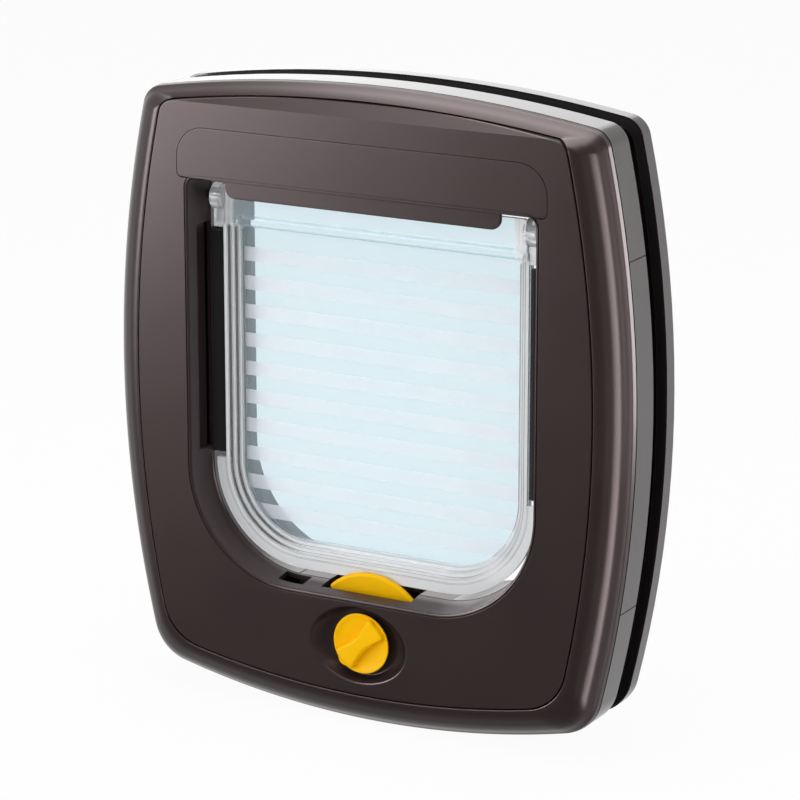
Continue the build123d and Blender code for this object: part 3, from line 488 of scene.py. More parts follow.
@dataclass(frozen=True)
class ClearFinish:
    """Clear polished plastic, faintly tinted, that turns milky on the stepped edge of the flap, with painted
    shade lines at the steps.
    """

    name: str
    colour: Triple
    roughness: float = 0.02
    index: float = 1.49
    rim_colour: Triple = (0.97, 0.985, 1.0)
    haze: float = 0.14
    rim_haze: float = 0.64
    line_haze: float = 0.08
    # Painted shade: colour level of the thin dark lines at the rim's steps.
    line_shade_level: float = 0.5
    ridge_pitch: float = 0.00193
    ridge_limit: float = 0.0062
    pane_half: float = 0.0612
    pane_low: float = -0.0594
    corner: float = 0.0295
    head_low: float = 0.0662
    head_blend: float = 0.001
    head_haze: float = 0.45
    rim_start: float = -0.0004
    rim_end: float = 0.0006
    line_edges: tuple[float, ...] = (0.07, 0.1, 0.17, 0.2, 0.84, 0.87, 0.92, 0.95)
    # Where each painted shade line at a step starts, is full, fades and is gone.
    shade_line_edges: tuple[float, ...] = (0.08, 0.1, 0.15, 0.17, 0.86, 0.88, 0.91, 0.93)
    cloud_scale: float = 60.0

    def edge_distance(self, graph: Graph, place: NodeSocket) -> NodeSocket:
        """Distance out from the pane's rounded outline, in metres.

        It is the length of two steps past the middle of a lower corner, one sideways and one
        down and neither less than nil, less the corner's radius.
        """
        axes = graph.add("SeparateXYZ", {"Vector": place}).outputs
        side = graph.math("ABSOLUTE", axes["X"])
        across = graph.math("SUBTRACT", side, self.pane_half - self.corner)
        below = graph.math("MULTIPLY_ADD", axes["Z"], -1.0, self.pane_low + self.corner)
        flat = graph.add("CombineXYZ", {
            "X": graph.math("MAXIMUM", across, 0.0), "Y": graph.math("MAXIMUM", below, 0.0),
        })
        reach = graph.add("VectorMath", {0: flat.outputs["Vector"]}, operation="LENGTH")
        return graph.math("SUBTRACT", reach.outputs["Value"], self.corner)

    def line_ramp(
        self, graph: Graph, phase: NodeSocket, plain: float, line: float, edges: tuple,
    ) -> NodeSocket:
        """Grey level that is plain but for two lines in each step of the rim.

        Args:
            graph: the material's nodes.
            phase: place within a step, from 0 to 1.
            plain: level beside the lines.
            line: level on a line.
            edges: for each line where it starts, is full, starts to fade and is gone.

        Returns:
            The level.
        """
        ramp = graph.add("ValToRGB", {"Fac": phase})
        stops = ramp.color_ramp.elements
        stops[0].color = stops[1].color = (plain, plain, plain, 1.0)
        for position, level in zip(edges, (plain, line, line, plain) * 2):
            stops.new(position).color = (level, level, level, 1.0)
        return ramp.outputs["Color"]

    def material(self) -> Material:
        """Transmissive node material whose haze grows from the pane to its rim, with thin dark lines of painted
        shade multiplied into the colour at each step.
        """
        made = bpy.data.materials.new(self.name)
        graph = Graph(made)
        place = graph.add("TexCoord").outputs["Object"]
        away = self.edge_distance(graph, place)
        rim = graph.span(away, (self.rim_start, self.rim_end), (0.0, 1.0))
        near = graph.math("MINIMUM", away, self.ridge_limit)
        phase = graph.math("FRACT", graph.math("DIVIDE", near, self.ridge_pitch))
        height = graph.add("SeparateXYZ", {"Vector": place}).outputs["Z"]
        step = (self.head_low - self.head_blend, self.head_low + self.head_blend)
        cover = graph.math("MULTIPLY", rim, graph.span(height, step, (1.0, self.head_haze)))
        lines = self.line_ramp(graph, phase, 1.0 - self.rim_haze, 1.0 - self.line_haze, self.line_edges)
        through = graph.add("Mix", {"Factor": cover, "A": 1.0 - self.haze, "B": lines})
        tint = graph.add("ValToRGB", {"Fac": rim})
        for stop, colour in zip(tint.color_ramp.elements, (self.colour, self.rim_colour)):
            stop.color = (*colour, 1.0)
        # Painted shade: thin dark lines at the step corners, multiplied into the rim's colour.
        painted_line_shade = self.line_ramp(graph, phase, 1.0, self.line_shade_level, self.shade_line_edges)
        shaded_tint = graph.add("Mix", {
            "Factor": cover, 6: tint.outputs["Color"], 7: painted_line_shade,
        }, data_type="RGBA", blend_type="MULTIPLY")
        noise = graph.add("TexNoise", {"Vector": place, "Scale": self.cloud_scale})
        rough = graph.span(noise.outputs["Fac"], (0.0, 1.0), (self.roughness, self.roughness * 2.0))
        graph.feed(graph.nodes["Principled BSDF"], {
            "IOR": self.index,
            "Base Color": shaded_tint.outputs[2],
            "Transmission Weight": through.outputs["Result"],
            "Roughness": rough,
        })
        return made


@dataclass(frozen=True)
class FrostFinish:
    """Etched band on the pane, thin and milky, fading towards the middle of the pane."""

    name: str = "frosted_band"
    colour: Triple = (0.96, 0.96, 1.0)
    side_cover: float = 0.58
    middle_cover: float = 0.34
    through: float = 0.55
    roughness: float = 0.65
    index: float = 1.1
    pane_half: float = 0.062

    def material(self) -> Material:
        """Diffuse film mixed with clear, its cover set by the distance from the middle."""
        made = bpy.data.materials.new(self.name)
        graph = Graph(made)
        place = graph.add("TexCoord").outputs["Object"]
        side = graph.math("ABSOLUTE", graph.add("SeparateXYZ", {"Vector": place}).outputs["X"])
        covers = (self.middle_cover, self.side_cover)
        graph.feed(graph.nodes["Principled BSDF"], {
            "Base Color": (*self.colour, 1.0),
            "Roughness": self.roughness,
            "IOR": self.index,
            "Transmission Weight": self.through,
            "Alpha": graph.span(side, (0.0, self.pane_half), covers, "SMOOTHERSTEP"),
        })
        return made


def srgb(red: int, green: int, blue: int) -> Triple:
    """Linear colour from screen values of 0 to 255."""
    share = [value / 255 for value in (red, green, blue)]
    return tuple(c / 12.92 if c <= 0.04045 else ((c + 0.055) / 1.055) ** 2.4 for c in share)


class Finishes:
    """Every finish of the part, made once and given to nodes and pieces."""

    def __init__(self) -> None:
        """Make the materials."""
        dark_brown = srgb(45, 34, 34)
        self.brown = Finish(
            "brown_satin", dark_brown, roughness=0.3, specular=0.48, gloss_tint=(1.0, 0.84, 0.86),
        ).material()
        self.gloss = Finish("brown_gloss", dark_brown, roughness=0.2, specular=0.7).material()
        self.yellow = Finish(
            "yellow_satin", srgb(252, 192, 0), roughness=0.42, specular=0.05, tone=0.03,
        ).material()
        self.clear = ClearFinish("clear_plastic", (0.81, 0.945, 1.0)).material()
        self.frost = FrostFinish().material()
        self.strip = Finish(
            "black_pile", srgb(26, 25, 26), roughness=0.9, specular=0.2, grain_scale=2600.0,
            grain_height=0.0002, sheen=0.15, tone=0.15,
        ).material()
        self.by_slot = {
            "brown_plastic": self.brown, "clear_plastic": self.clear, "yellow_plastic": self.yellow,
        }
        for slot, finish in {
            "black_rubber": Finish("black_rubber", srgb(18, 17, 17), roughness=0.7, specular=0.3),
            "dark_plastic": Finish("dark_plastic", srgb(40, 34, 34), roughness=0.45),
            "steel": Finish(
                "bright_steel", (0.62, 0.62, 0.64), roughness=0.24, metallic=1.0, grain_scale=900.0,
            ),
            "magnet": Finish("plated_magnet", (0.42, 0.42, 0.44), roughness=0.35, metallic=1.0),
            "white_nylon": Finish("white_nylon", srgb(226, 225, 218), roughness=0.45, tone=0.03),
        }.items():
            self.by_slot[slot] = finish.material()

    def dress_nodes(self) -> None:
        """Give every CAD node the finish of its slot in the record, or a special one."""
        shiny = ("inner_base", "inner_liner", "outer_frame", "outer_tunnel")
        for part in frame["record"]["subparts"]:
            name = part["node"]
            finish = self.by_slot[part["material_slot"]]
            if name in shiny:
                finish = self.gloss
            elif "strip_" in name and "draught" in name:
                finish = self.strip
            put_material(frame["nodes"][name], finish)


def put_material(thing: Object, material: Material) -> None:
    """Make a material the only one of an object."""
    if not thing.material_slots:
        thing.data.materials.append(material)
    for slot in thing.material_slots:
        slot.material = material


def place_piece(
    piece: Object, body: Body, material: Material, slot: str, *nodes: str,
) -> None:
    """Ride a piece on its body, give it its finish and let it stand for CAD nodes.

    Args:
        piece: the object.
        body: the body that carries it.
        material: its finish.
        slot: the record's material slot; not used.
        nodes: CAD nodes that it replaces.
    """
    put_material(piece, material)
    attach(piece, body.value)
    if nodes:
        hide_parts(*nodes)


# Housing


@dataclass
class TrimFrame:
    """Crowned surround of the face panel, with a drafted lip round its edge."""

    face_y: float = -25.0
    rear_y: float = -14.0
    lip_rear_y: float = -12.0
    ledge_y: float = -17.0
    lip_inset: float = 2.5
    lip_wall: float = 1.7
    border: float = 2.4
    side_run: float = 10.3
    head_run: float = 2.6
    foot_extra: float = 0.3
    head_radius: float = 6.0
    foot_radius: float = 20.0
    opening: float = 12.7
    sharp: float = 28.0
    crown: Array = field(
        default_factory=lambda: np.array([
            (0.75, 8.05), (1.7, 6.9), (3.0, 5.0), (5.0, 3.15),
            (7.0, 1.9), (9.2, 0.75), (11.3, 0.08), (12.35, 0.0),
        ])
    )
    barrel: Barrel = field(default_factory=Barrel)

    def share(self, inset: float) -> float:
        """Way from the even border to the panel's opening, from 0 to 1."""
        return np.clip((inset - self.border) / self.side_run, 0.0, 1.0)

    def head_inset(self, inset: float) -> float:
        """Inset at the head of a loop, which past the border grows slower than at the sides."""
        return inset if inset < self.border else self.border + self.share(inset) * self.head_run

    def ring(self, inset: float) -> Ring:
        """Loop between the outline and the panel's opening, closer to the edge at the head."""
        share = self.share(inset)
        head, foot = self.barrel.corner_radii(min(inset, self.border))
        head -= share * (head - self.head_radius)
        foot += share * (self.foot_radius - foot)
        return self.barrel.ring(inset, self.head_inset(inset), inset + self.foot_extra * share, head, foot)

    def front_rings(self) -> list[Array]:
        """Loops up the lip, over the crown and down to the ledge inside."""
        lip = np.array([(0.0, 10.5), (0.02, 10.3), (0.06, 10.15), (0.3, 8.75), (0.4, 8.5), (0.58, 8.22)])
        curve = smooth_profile(self.crown, 34)
        curve[:, 1] = np.maximum(curve[:, 1], 0.0)
        profile = np.concatenate([lip, curve])
        rings = []
        for inset in profile[:, 0]:
            ring = self.ring(inset)
            local = ring.head * self.head_inset(inset) + (1 - ring.head) * inset
            depths = np.interp(local, profile[:, 0], profile[:, 1])
            rings.append(at_depth(ring.points, self.face_y + depths))
        edge = rings[-1]
        for inset, drop in ((12.52, 0.06), (12.64, 0.18), (self.opening, 0.36)):
            rings.append(at_depth(self.ring(inset).points, edge[:, 1] + drop))
        rings.append(at_depth(self.ring(self.opening).points, self.ledge_y))
        return rings

    def back_rings(self) -> list[Array]:
        """Loops over the ledge, up the hollow back, round the locating lip and out to the seam."""
        ledge = self.barrel.ring(15.2, 7.5, 15.5, 3.5, 17.5)
        under, seam = self.ring(12.0), self.ring(1.1)
        hollow, lip = self.ring(self.lip_inset + self.lip_wall), self.ring(self.lip_inset)
        stations = (
            (ledge, self.ledge_y), (ledge, self.ledge_y + 1.6), (under, self.ledge_y + 1.6),
            (hollow, self.ledge_y + 1.7), (hollow, self.lip_rear_y), (lip, self.lip_rear_y),
            (lip, self.rear_y), (seam, self.rear_y), (seam, self.rear_y - 0.5),
        )
        return [at_depth(ring.points, y) for ring, y in stations]

    def build(self, material: Material) -> Object:
        """Make the closed frame, with its ledge, hollow back and locating lip."""
        shell = Shell()
        shell.loft(self.front_rings() + self.back_rings(), closed=True)
        piece = shell.piece("trim_surround", sharp=self.sharp)
        cutters = [box_mesh("cam_room", (-27.5, -17.3, -119.7), (27.5, -13.9, -105.5))]
        for side in (1, -1):
            cutters.append(box_mesh("pry_notch", (side * 43.0, -16.0, -127.0), (side * 68.0, -13.9, -118.0)))
        carve(piece, cutters, self.sharp)
        place_piece(piece, Body.HOUSING, material, "brown_plastic", "trim_frame")
        return piece


@dataclass
class FacePanel:
    """Flat panel with a sloping head, the funnel's mouth and the dial's dish."""

    face_y: float = -25.0
    plate: float = 2.5
    ledge_y: float = -17.0
    funnel_end_y: float = -12.3
    crease_z: float = 114.8
    head_z: float = 121.0
    facet_drop: float = 4.4
    dial_z: float = -92.2
    dish: tuple[float, float] = (21.0, 15.25)
    bowl_radius: float = 13.4
    hub_radius: float = 6.05
    dish_rim: float = 0.5
    bowl_depth: float = 4.9
    hub_depth: float = 7.2
    sharp: float = 26.0
    mouth: Arch = MOUTH
    throat: Arch = Arch(73.2, -72.1, 85.0, 42.0, 3.2, 28, 16)
    barrel: Barrel = field(default_factory=Barrel)

    def slope(self, points: Array) -> Array:
        """Push the part above the crease back, along the facet."""
        moved = points.copy()
        past = np.clip(points[:, 2] - self.crease_z, 0.0, None)
        moved[:, 1] += past * self.facet_drop / (self.head_z - self.crease_z)
        return moved

    def outer(self, inset: float) -> Array:
        """Loop of the panel's edge."""
        return self.barrel.ring(12.7 + inset, 5.0 + inset, 13.0 + inset, 6.0, 20.0).points

    def split(self, loop: Array) -> tuple[Array, Array]:
        """Part a loop at the crease into the panel below and the facet above."""
        after = np.roll(loop, -1, 0)
        cross = np.where((loop[:, 1] - self.crease_z) * (after[:, 1] - self.crease_z) < 0)[0]
        cuts = []
        for index in cross:
            share = (self.crease_z - loop[index, 1]) / (after[index, 1] - loop[index, 1])
            cuts.append(loop[index] + share * (after[index] - loop[index]))
        first, second = cross
        lower = np.concatenate([[cuts[0]], loop[first + 1 : second + 1], [cuts[1]]])
        upper = np.concatenate([[cuts[1]], loop[second + 1 :], loop[: first + 1], [cuts[0]]])
        return lower, upper

    def with_crease(self, loop: Array) -> Array:
        """Loop with a point added wherever it crosses the crease."""
        lower, upper = self.split(loop)
        return np.concatenate([lower, upper[1:-1]])

    def dish_ring(self, half_x: float, half_z: float) -> Array:
        """Ellipse about the dial."""
        angle = np.linspace(0.0, 2 * math.pi, 96, endpoint=False)
        return np.stack([half_x * np.sin(angle), self.dial_z + half_z * np.cos(angle)], 1)

    def mouth_rings(self) -> list[Array]:
        """Loops from the panel over the beaded lip, down the funnel and back outside it."""
        lip = [
            (1.75, 0.0), (1.62, 0.05), (1.55, 0.42), (1.05, 0.42), (0.98, 0.05), (0.86, 0.0),
            (0.5, 0.06), (0.2, 0.26), (0.05, 0.55), (0.0, 0.95),
        ]
        rings = self.mouth.stack(*((grow, self.face_y + depth) for grow, depth in lip))
        top, foot = self.mouth.ring(), self.throat.ring()
        start = lip[-1][1]
        for share in np.linspace(0.0, 1.0, 9)[1:]:
            flat = top * (1 - share) + foot * share
            y = self.face_y + start + share * (self.funnel_end_y - self.face_y - start)
            rings.append(at_depth(flat, y))
        rings += self.throat.stack((2.0, self.funnel_end_y))
        return rings + self.mouth.stack((1.75, self.face_y + self.plate))

    def dish_rings(self) -> list[Array]:
        """Loops from the panel over the dish's soft rim, down its bowl and behind it."""
        half_x, half_z = self.dish
        stations = [
            (half_x + grow, half_z + grow, depth)
            for grow, depth in ((0.7, 0.0), (0.42, 0.06), (0.16, 0.22), (0.0, self.dish_rim))
        ]
        for share in np.linspace(0.0, 1.0, 15)[1:]:
            half = [size - (size - self.bowl_radius) * share**1.25 for size in self.dish]
            stations.append((*half, self.dish_rim + self.bowl_depth * math.sin(share * math.pi / 2) ** 1.15))
        stations += [
            (self.hub_radius, self.hub_radius, self.dish_rim + self.bowl_depth),
            (self.hub_radius, self.hub_radius, self.hub_depth),
            (14.5, 14.5, self.hub_depth),
            (22.8, 17.05, self.plate),
        ]
        return [at_depth(self.dish_ring(x, z), self.face_y + depth) for x, z, depth in stations]

    def build(self, material: Material) -> None:
        """Make the closed panel and cut its slots and windows."""
        shell = Shell()
        front_y, back_y = self.face_y, self.face_y + self.plate
        mouth, dish = self.mouth_rings(), self.dish_rings()
        shell.loft(mouth)
        shell.loft(dish)
        front_loop, back_loop = self.outer(0.85), self.outer(2.5)
        for loop, y, mouth_loop, dish_loop in (
            (front_loop, front_y, mouth[0], dish[0]),
            (back_loop, back_y, mouth[-1], dish[-1]),
        ):
            lower, upper = self.split(loop)
            shell.fill(at_depth(lower, y), mouth_loop, dish_loop)
            shell.fill(self.slope(at_depth(upper, y)))
        edge = [(0.85, 0.0), (0.66, 0.04), (0.54, 0.16), (0.5, 0.34)]
        rings = [
            self.slope(at_depth(self.with_crease(self.outer(inset)), front_y + drop)) for inset, drop in edge
        ]
        rings += [at_depth(self.with_crease(self.outer(inset)), self.ledge_y) for inset in (0.5, 2.5)]
        rings.append(self.slope(at_depth(self.with_crease(back_loop), back_y)))
        shell.loft(rings)
        piece = shell.piece("front_panel", sharp=self.sharp)
        carve(piece, self.cutters(), self.sharp)
        place_piece(piece, Body.HOUSING, material, "brown_plastic", "face_panel")

    def cutters(self) -> list[Object]:
        """Room for the hinge cover, the pockets, the cams, the drain hole and the pins."""
        recess = closed_block("cover_recess", COVER_LID.stack((0.18, -26.0), (0.18, -22.8)), 32.0)
        recess.modifiers.clear()
        cuts = [
            recess,
            box_mesh("lid_room", (-71.3, -25.5, 84.82), (71.3, -12.0, 89.3)),
            box_mesh("cam_slot", (-20.0, -19.1, -77.5), (20.0, -12.0, -71.0)),
            box_mesh("drain", (-39.0, -20.3, -77.5), (-27.6, -13.0, -71.0)),
        ]
        for side in (1, -1):
            cuts.append(box_mesh("pocket", (side * 72.0, -20.0, -24.7), (side * 75.4, -12.0, 66.0)))
            cuts.append(rod_mesh("pin_window", (side * 72.0, -11.0, 76.2), (side * 78.0, -11.0, 76.2), 2.7))
        return cuts


@dataclass
class HingeCover:
    """Flush lid over the hinge bearings, with the strip that hangs behind the mouth's head."""

    face_y: float = -25.0
    plate: float = 2.2

    def build(self, material: Material) -> None:
        """Make the lid with the mouth's hairline in it, the hanging strip and the return behind."""
        face, near, far = self.face_y, self.face_y - 0.5, self.face_y + 0.42
        lid = COVER_LID.stack((-0.22, face), (-0.08, face + 0.05), (0.0, face + 0.2), (0.0, face + self.plate))
        strip = Arch(59.6, 78.2, 86.0, 4.0, 0.3, 12, 6).stack(
            (-0.35, -22.8), (-0.1, -22.7), (0.0, -22.4), (0.0, -21.2), (-0.1, -20.9), (-0.35, -20.8),
        )
        back = Arch(71.0, 85.0, 86.8, 0.3, 0.3, 4, 6).stack((0.0, -22.81), (0.0, -12.6), (-0.25, -12.3))
        groove = Shell()
        groove.loft(MOUTH.stack((1.05, near), (1.05, far), (1.55, far), (1.55, near)), closed=True)
        pieces = [closed_block("hinge_lid", lid, 26.0)]
        line = groove.piece("mouth_line")
        line.modifiers.clear()
        carve(pieces[0], [line], 26.0)
        pieces += [closed_block("header_strip", strip, 40.0), closed_block("cover_return", back, 40.0)]
        for piece in pieces:
            place_piece(piece, Body.HOUSING, material, "brown_plastic", "hinge_cover")


# Flap


@dataclass
class FrostedBands:
    """Ten milky bars etched across the front of the pane."""

    pane_y: float = -7.0
    half: float = 60.9
    high: float = 56.2
    tall: float = 5.7
    pitch: float = 11.5
    count: int = 10
    end_radius: float = 0.4
    film: float = 0.02
    gap: float = 0.08

    def build(self, material: Material) -> None:
        """Make the bars as thin closed slabs just in front of the pane."""
        shell = Shell()
        for index in range(self.count):
            top = self.high - index * self.pitch
            bar = Arch(self.half, top - self.tall, top, self.end_radius, self.end_radius, 6, 6)
            back = self.pane_y - self.gap
            shell.closed_loft(bar.stack((0.0, back - self.film), (0.0, back)))
        piece = shell.piece("frosted_bands", weld=0.001)
        place_piece(piece, Body.FLAP, material, "clear_plastic")


# Dial


@dataclass
class Knob:
    """Round knob with a scooped face, a waisted grip and a pointer on its rim."""

    dial_z: float = -92.2
    hub_y: float = -16.0
    back_y: float = -20.1
    face_y: float = -23.0
    front_y: float = -24.6
    radius: float = 12.2
    hub_radius: float = 5.98
    scoop_edge: float = 0.22
    scoop_depth: float = 1.45
    pointer: float = 225.0
    grip_reach: float = 10.9
    grip_waist: float = 3.1
    grip_flare: float = 2.2
    turn: float = 45.0
    steps: int = 96

    def ring(self, radius: float, y: float, stand: float = 0.0) -> Array:
        """Circle about the dial, standing out a little at the pointer."""
        angle = np.linspace(0.0, 2 * math.pi, self.steps, endpoint=False)
        off = (np.degrees(angle) - self.pointer + 180.0) % 360.0 - 180.0
        reach = radius + stand * np.clip(1.6 - np.abs(off) / 7.5, 0.0, 1.0)
        return at_depth(np.stack([reach * np.sin(angle), self.dial_z + reach * np.cos(angle)], 1), y)

    def bowl_rings(self) -> list[Array]:
        """Rings from the hub round the back, over the rim and down the scoop."""
        hub, radius, back, face = self.hub_radius, self.radius, self.back_y, self.face_y
        profile = [
            (hub, self.hub_y), (hub, back), (radius - 1.75, back), (radius - 1.55, back - 0.2),
            (radius - 0.55, face + 1.45), (radius - 0.5, face + 1.4, 0.8), (radius, face + 0.4, 0.8),
            (radius - 0.1, face + 0.12, 0.75), (radius - 0.34, face, 0.6), (radius - 0.75, face + 0.04),
            (radius - 1.0, face + self.scoop_edge),
        ]
        for share in np.linspace(0.0, 1.0, 10)[1:-1]:
            drop = self.scoop_depth * math.sin(share * math.pi / 2) ** 0.55
            profile.append(((radius - 1.0) * (1 - share), face + self.scoop_edge + drop))
        profile.append((0.35, face + 1.67))
        return [self.ring(*row) for row in profile]

    def grip_loop(self, shrink: float, y: float) -> Array:
        """Bow-tie loop that flares with a power of the way from the middle and rounds at its ends."""
        along = np.linspace(-1.0, 1.0, 41)
        half = self.grip_waist + self.grip_flare * np.abs(along) ** 1.6 - shrink
        fade = np.sqrt(np.clip(1 - np.clip((np.abs(along) - 0.86) / 0.15, 0, 1) ** 2, 0.0, 1.0))
        half = np.maximum(half * (0.35 + 0.65 * fade), 0.2)
        bow = (self.grip_reach - shrink) * along
        x, z = np.concatenate([half, -half[::-1]]), np.concatenate([bow, bow[::-1]])
        cos, sin = math.cos(math.radians(self.turn)), math.sin(math.radians(self.turn))
        spun = np.stack([x * cos + z * sin, z * cos - x * sin], 1)
        return at_depth(spun + (0.0, self.dial_z), y)

    def build(self, material: Material) -> None:
        """Make the bowl and the grip that stands on it."""
        edge = (
            (-0.2, self.face_y + 1.8), (-0.15, self.face_y + 1.0), (0.0, self.face_y - 0.3), (0.3, -24.05),
            (0.65, -24.38), (1.05, -24.54), (1.6, self.front_y),
        )
        grip = [self.grip_loop(shrink, y) for shrink, y in edge]
        for name, rings, sharp in (("dial_knob", self.bowl_rings(), 40.0), ("dial_grip", grip, 50.0)):
            piece = closed_block(name, rings, sharp)
            place_piece(piece, Body.DIAL, material, "yellow_plastic", "lock_knob")


# Rounded copies


@dataclass(frozen=True)
class SoftCopy:
    """Copy of a CAD node's shape with its edges rounded, which stands for that node."""

    node: str
    body: Body
    slot: str
    radius: float = 0.3
    steps: int = 2
    sharp: float = 40.0
    flat: float = 0.6
    plain_area: float = 0.0
    corner: float = 28.0

    def build(self, material: Material) -> None:
        """Merge the copied mesh, drop its flat seams and round its edges."""
        source = frame["nodes"][self.node]
        data = source.data.copy()
        data.name = f"soft_{self.node}"
        data.materials.clear()
        work = bmesh.new()
        work.from_mesh(data)
        bmesh.ops.transform(work, matrix=source.matrix_world, verts=work.verts)
        bmesh.ops.remove_doubles(work, verts=work.verts, dist=0.001 * MM)
        bmesh.ops.dissolve_limit(
            work, angle_limit=math.radians(self.flat), verts=work.verts, edges=work.edges, delimit=set(),
        )
        corner = math.radians(self.corner)
        edges = [edge for edge in work.edges if edge.is_manifold and edge.calc_face_angle(0.0) > corner]
        bmesh.ops.bevel(
            work, geom=edges, offset=self.radius * MM, offset_type="OFFSET", segments=self.steps,
            profile=0.5, affect="EDGES", clamp_overlap=True, harden_normals=False,
        )
        bmesh.ops.remove_doubles(work, verts=work.verts, dist=0.002 * MM)
        bmesh.ops.recalc_face_normals(work, faces=work.faces)
        work.to_mesh(data)
        work.free()
        piece = add_object(data.name, data)
        smooth_by_angle(piece, self.sharp)
        if self.plain_area:
            area = np.empty(len(data.polygons), dtype=np.float32)
            data.polygons.foreach_get("area", area)
            data.polygons.foreach_set("use_smooth", area < self.plain_area * MM * MM)
            data.update()
        place_piece(piece, self.body, material, self.slot, self.node)


# Studio


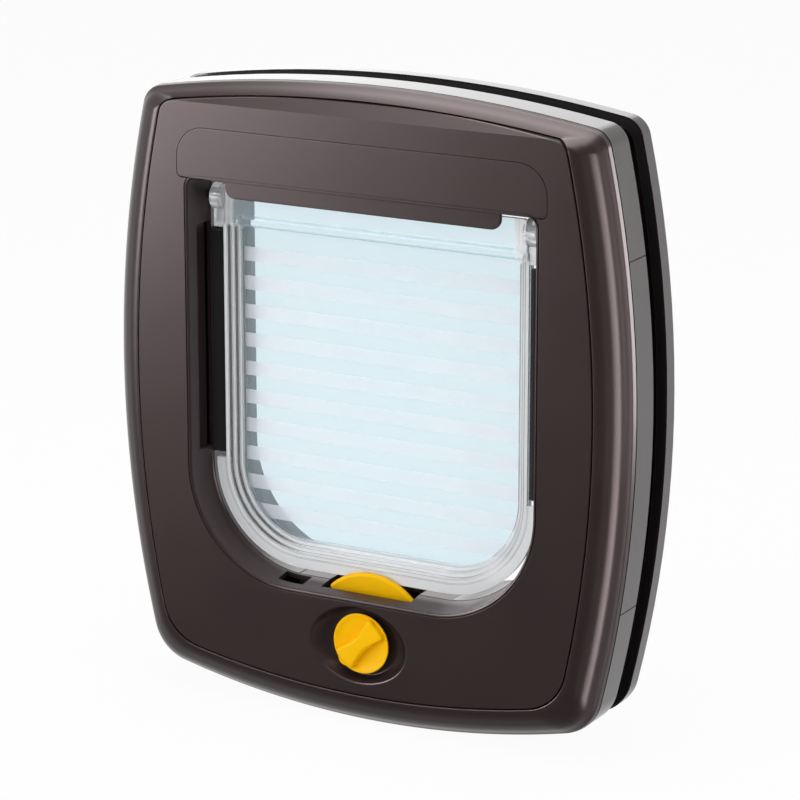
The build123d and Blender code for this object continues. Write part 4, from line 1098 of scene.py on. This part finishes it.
@dataclass(frozen=True)
class Studio:
    """Pale floor, white surroundings, soft lights and the photograph's camera."""

    camera: Triple = (0.641145, -1.129652, 0.354365)
    target: Triple = (0.01025, -0.0100, 0.004215)
    lens: float = 156.56
    sensor: float = 36.0
    view_depth: float = 50.0
    room_light: float = 0.35
    gloss_front: float = 0.12
    gloss_behind: float = 1.0
    gloss_turn: tuple[float, float] = (-0.6, 0.4)
    floor_half: float = 6.0
    floor_z: float = -0.1262
    floor_grey: float = 0.86
    floor_glow: float = 0.95

    def look(self, thing: Object, place: tuple, target: tuple) -> None:
        """Put a camera or lamp at a place and aim it."""
        thing.location = place
        thing.rotation_euler = (Vector(target) - Vector(place)).to_track_quat("-Z", "Y").to_euler()

    def make_camera(self) -> None:
        """Camera solved from the photograph."""
        data = bpy.data.cameras.new("camera")
        data.lens, data.sensor_width, data.clip_end = self.lens, self.sensor, self.view_depth
        view = add_object("camera", data)
        self.look(view, self.camera, self.target)
        bpy.context.scene.camera = view

    def lamp(
        self, name: str, place: tuple, size: tuple[float, float], power: float,
        target: tuple = (0.0, 0.0, 0.0), gloss: bool = False, only: Object | None = None,
    ) -> None:
        """Soft rectangular light, either for the matt light or for the highlights.

        Args:
            name: its name.
            place: its middle.
            size: width and height.
            power: watts.
            target: point that it faces.
            gloss: whether it shows in highlights only; the others light and don't show.
            only: the one piece that it reaches, or None for all.
        """
        data = bpy.data.lights.new(name, "AREA")
        data.shape = "RECTANGLE"
        data.size, data.size_y = size
        data.energy = power
        made = add_object(name, data)
        made.visible_diffuse = not gloss
        made.visible_glossy = gloss
        made.visible_transmission = False
        made.visible_camera = False
        if only:
            reached = bpy.data.collections.new(f"{name}_reach")
            reached.objects.link(only)
            made.light_linking.receiver_collection = reached
        self.look(made, place, target)

    def make_world(self) -> None:
        """White to the camera and through clear plastic; in gloss white behind, dark in front."""
        world = bpy.data.worlds.new("studio")
        bpy.context.scene.world = world
        graph = Graph(world)
        path = graph.add("LightPath").outputs
        place = graph.add("TexCoord").outputs["Generated"]
        depth = graph.add("SeparateXYZ", {"Vector": place}).outputs["Y"]
        behind = graph.span(depth, self.gloss_turn, (self.gloss_front, self.gloss_behind), "SMOOTHSTEP")
        seen = graph.math("MAXIMUM", path["Is Camera Ray"], path["Is Transmission Ray"])
        gloss = graph.add("Mix", {"Factor": path["Is Glossy Ray"], "A": self.room_light, "B": behind})
        total = graph.add("Mix", {"Factor": seen, "A": gloss.outputs["Result"], "B": 1.0})
        graph.feed(graph.nodes["Background"], {"Color": WHITE, "Strength": total.outputs["Result"]})

    def make_floor(self) -> None:
        """Wide pale floor under the part, near white where the camera sees it."""
        data = bpy.data.meshes.new("floor")
        half, low = self.floor_half, self.floor_z
        corners = [(-half, -half, low), (half, -half, low), (half, half, low), (-half, half, low)]
        data.from_pydata(corners, [], [(0, 1, 2, 3)])
        floor = add_object("floor", data)
        made = bpy.data.materials.new("pale_floor")
        graph = Graph(made)
        shader = graph.nodes["Principled BSDF"]
        grey = (*[self.floor_grey] * 3, 1.0)
        graph.feed(shader, {"Base Color": grey, "Roughness": 0.9, "Specular IOR Level": 0.1})
        glow = graph.add("Emission", {"Color": WHITE})
        path = graph.add("LightPath").outputs
        seen = graph.math("MAXIMUM", path["Is Camera Ray"], path["Is Transmission Ray"])
        mix = graph.add("MixShader", {
            "Fac": graph.math("MULTIPLY", seen, self.floor_glow),
            1: shader.outputs["BSDF"], 2: glow.outputs["Emission"],
        })
        graph.feed(graph.nodes["Material Output"], {"Surface": mix.outputs["Shader"]})
        put_material(floor, made)
        floor.visible_glossy = False

    def build(self, trim: Object) -> None:
        """Make the set, in which the last panel draws a streak on the trim alone."""
        bpy.context.scene.view_settings.view_transform = "Standard"
        self.make_camera()
        self.make_world()
        self.make_floor()
        self.lamp("key", (-0.86, -1.02, 0.31), (0.8, 0.84), 7.5, (-0.05, 0.0, 0.26))
        self.lamp("head", (0.05, -0.25, 1.25), (1.2, 1.3), 12.0)
        self.lamp("side", (1.3, -0.4, 0.3), (0.5, 0.9), 1.5)
        self.lamp("left_panel", (-0.98, -0.914, 0.275), (0.7, 0.92), 23.0, (0.0, 0.0, 0.275), True)
        self.lamp("right_panel", (0.55, 0.095, 0.01), (0.2, 0.26), 0.8, (0.0, 0.0, 0.01), True)
        self.lamp("top_panel", (-0.15, 0.05, 1.3), (1.3, 1.8), 38.0, (-0.15, 0.05, 0.0), True)
        self.lamp("rear_panel", (0.75, 0.53, 0.02), (0.26, 0.5), 5.0, (0.1, 0.0, 0.02), True)
        self.lamp("back_panel", (-0.55, 0.92, 0.42), (1.0, 0.64), 2.6, (0.0, 0.0, 0.12), True)
        self.lamp(
            "streak_panel", (0.59, -0.32, -0.22), (0.18, 0.85), 5.0, (0.1, -0.02, -0.22), True, trim,
        )


def main() -> None:
    """Build the finishes, the pieces and the studio in order."""
    logging.basicConfig(level=logging.INFO)
    finishes = Finishes()
    finishes.dress_nodes()
    trim = TrimFrame().build(finishes.brown)
    FacePanel().build(finishes.brown)
    HingeCover().build(finishes.brown)
    FrostedBands().build(finishes.frost)
    SoftCopy("flap", Body.FLAP, "clear_plastic", radius=0.45, steps=3, plain_area=12.0).build(finishes.clear)
    SoftCopy("front_cam", Body.DIAL, "yellow_plastic", radius=0.5, steps=3).build(finishes.yellow)
    SoftCopy("outer_frame", Body.HOUSING, "brown_plastic", radius=0.4, flat=0.03).build(finishes.gloss)
    for node in ("inner_base", "inner_liner"):
        SoftCopy(node, Body.HOUSING, "brown_plastic", radius=0.25).build(finishes.gloss)
    Knob().build(finishes.yellow)
    Studio().build(trim)
    log.info("pieces are in place")


if __name__ == "__main__":
    main()
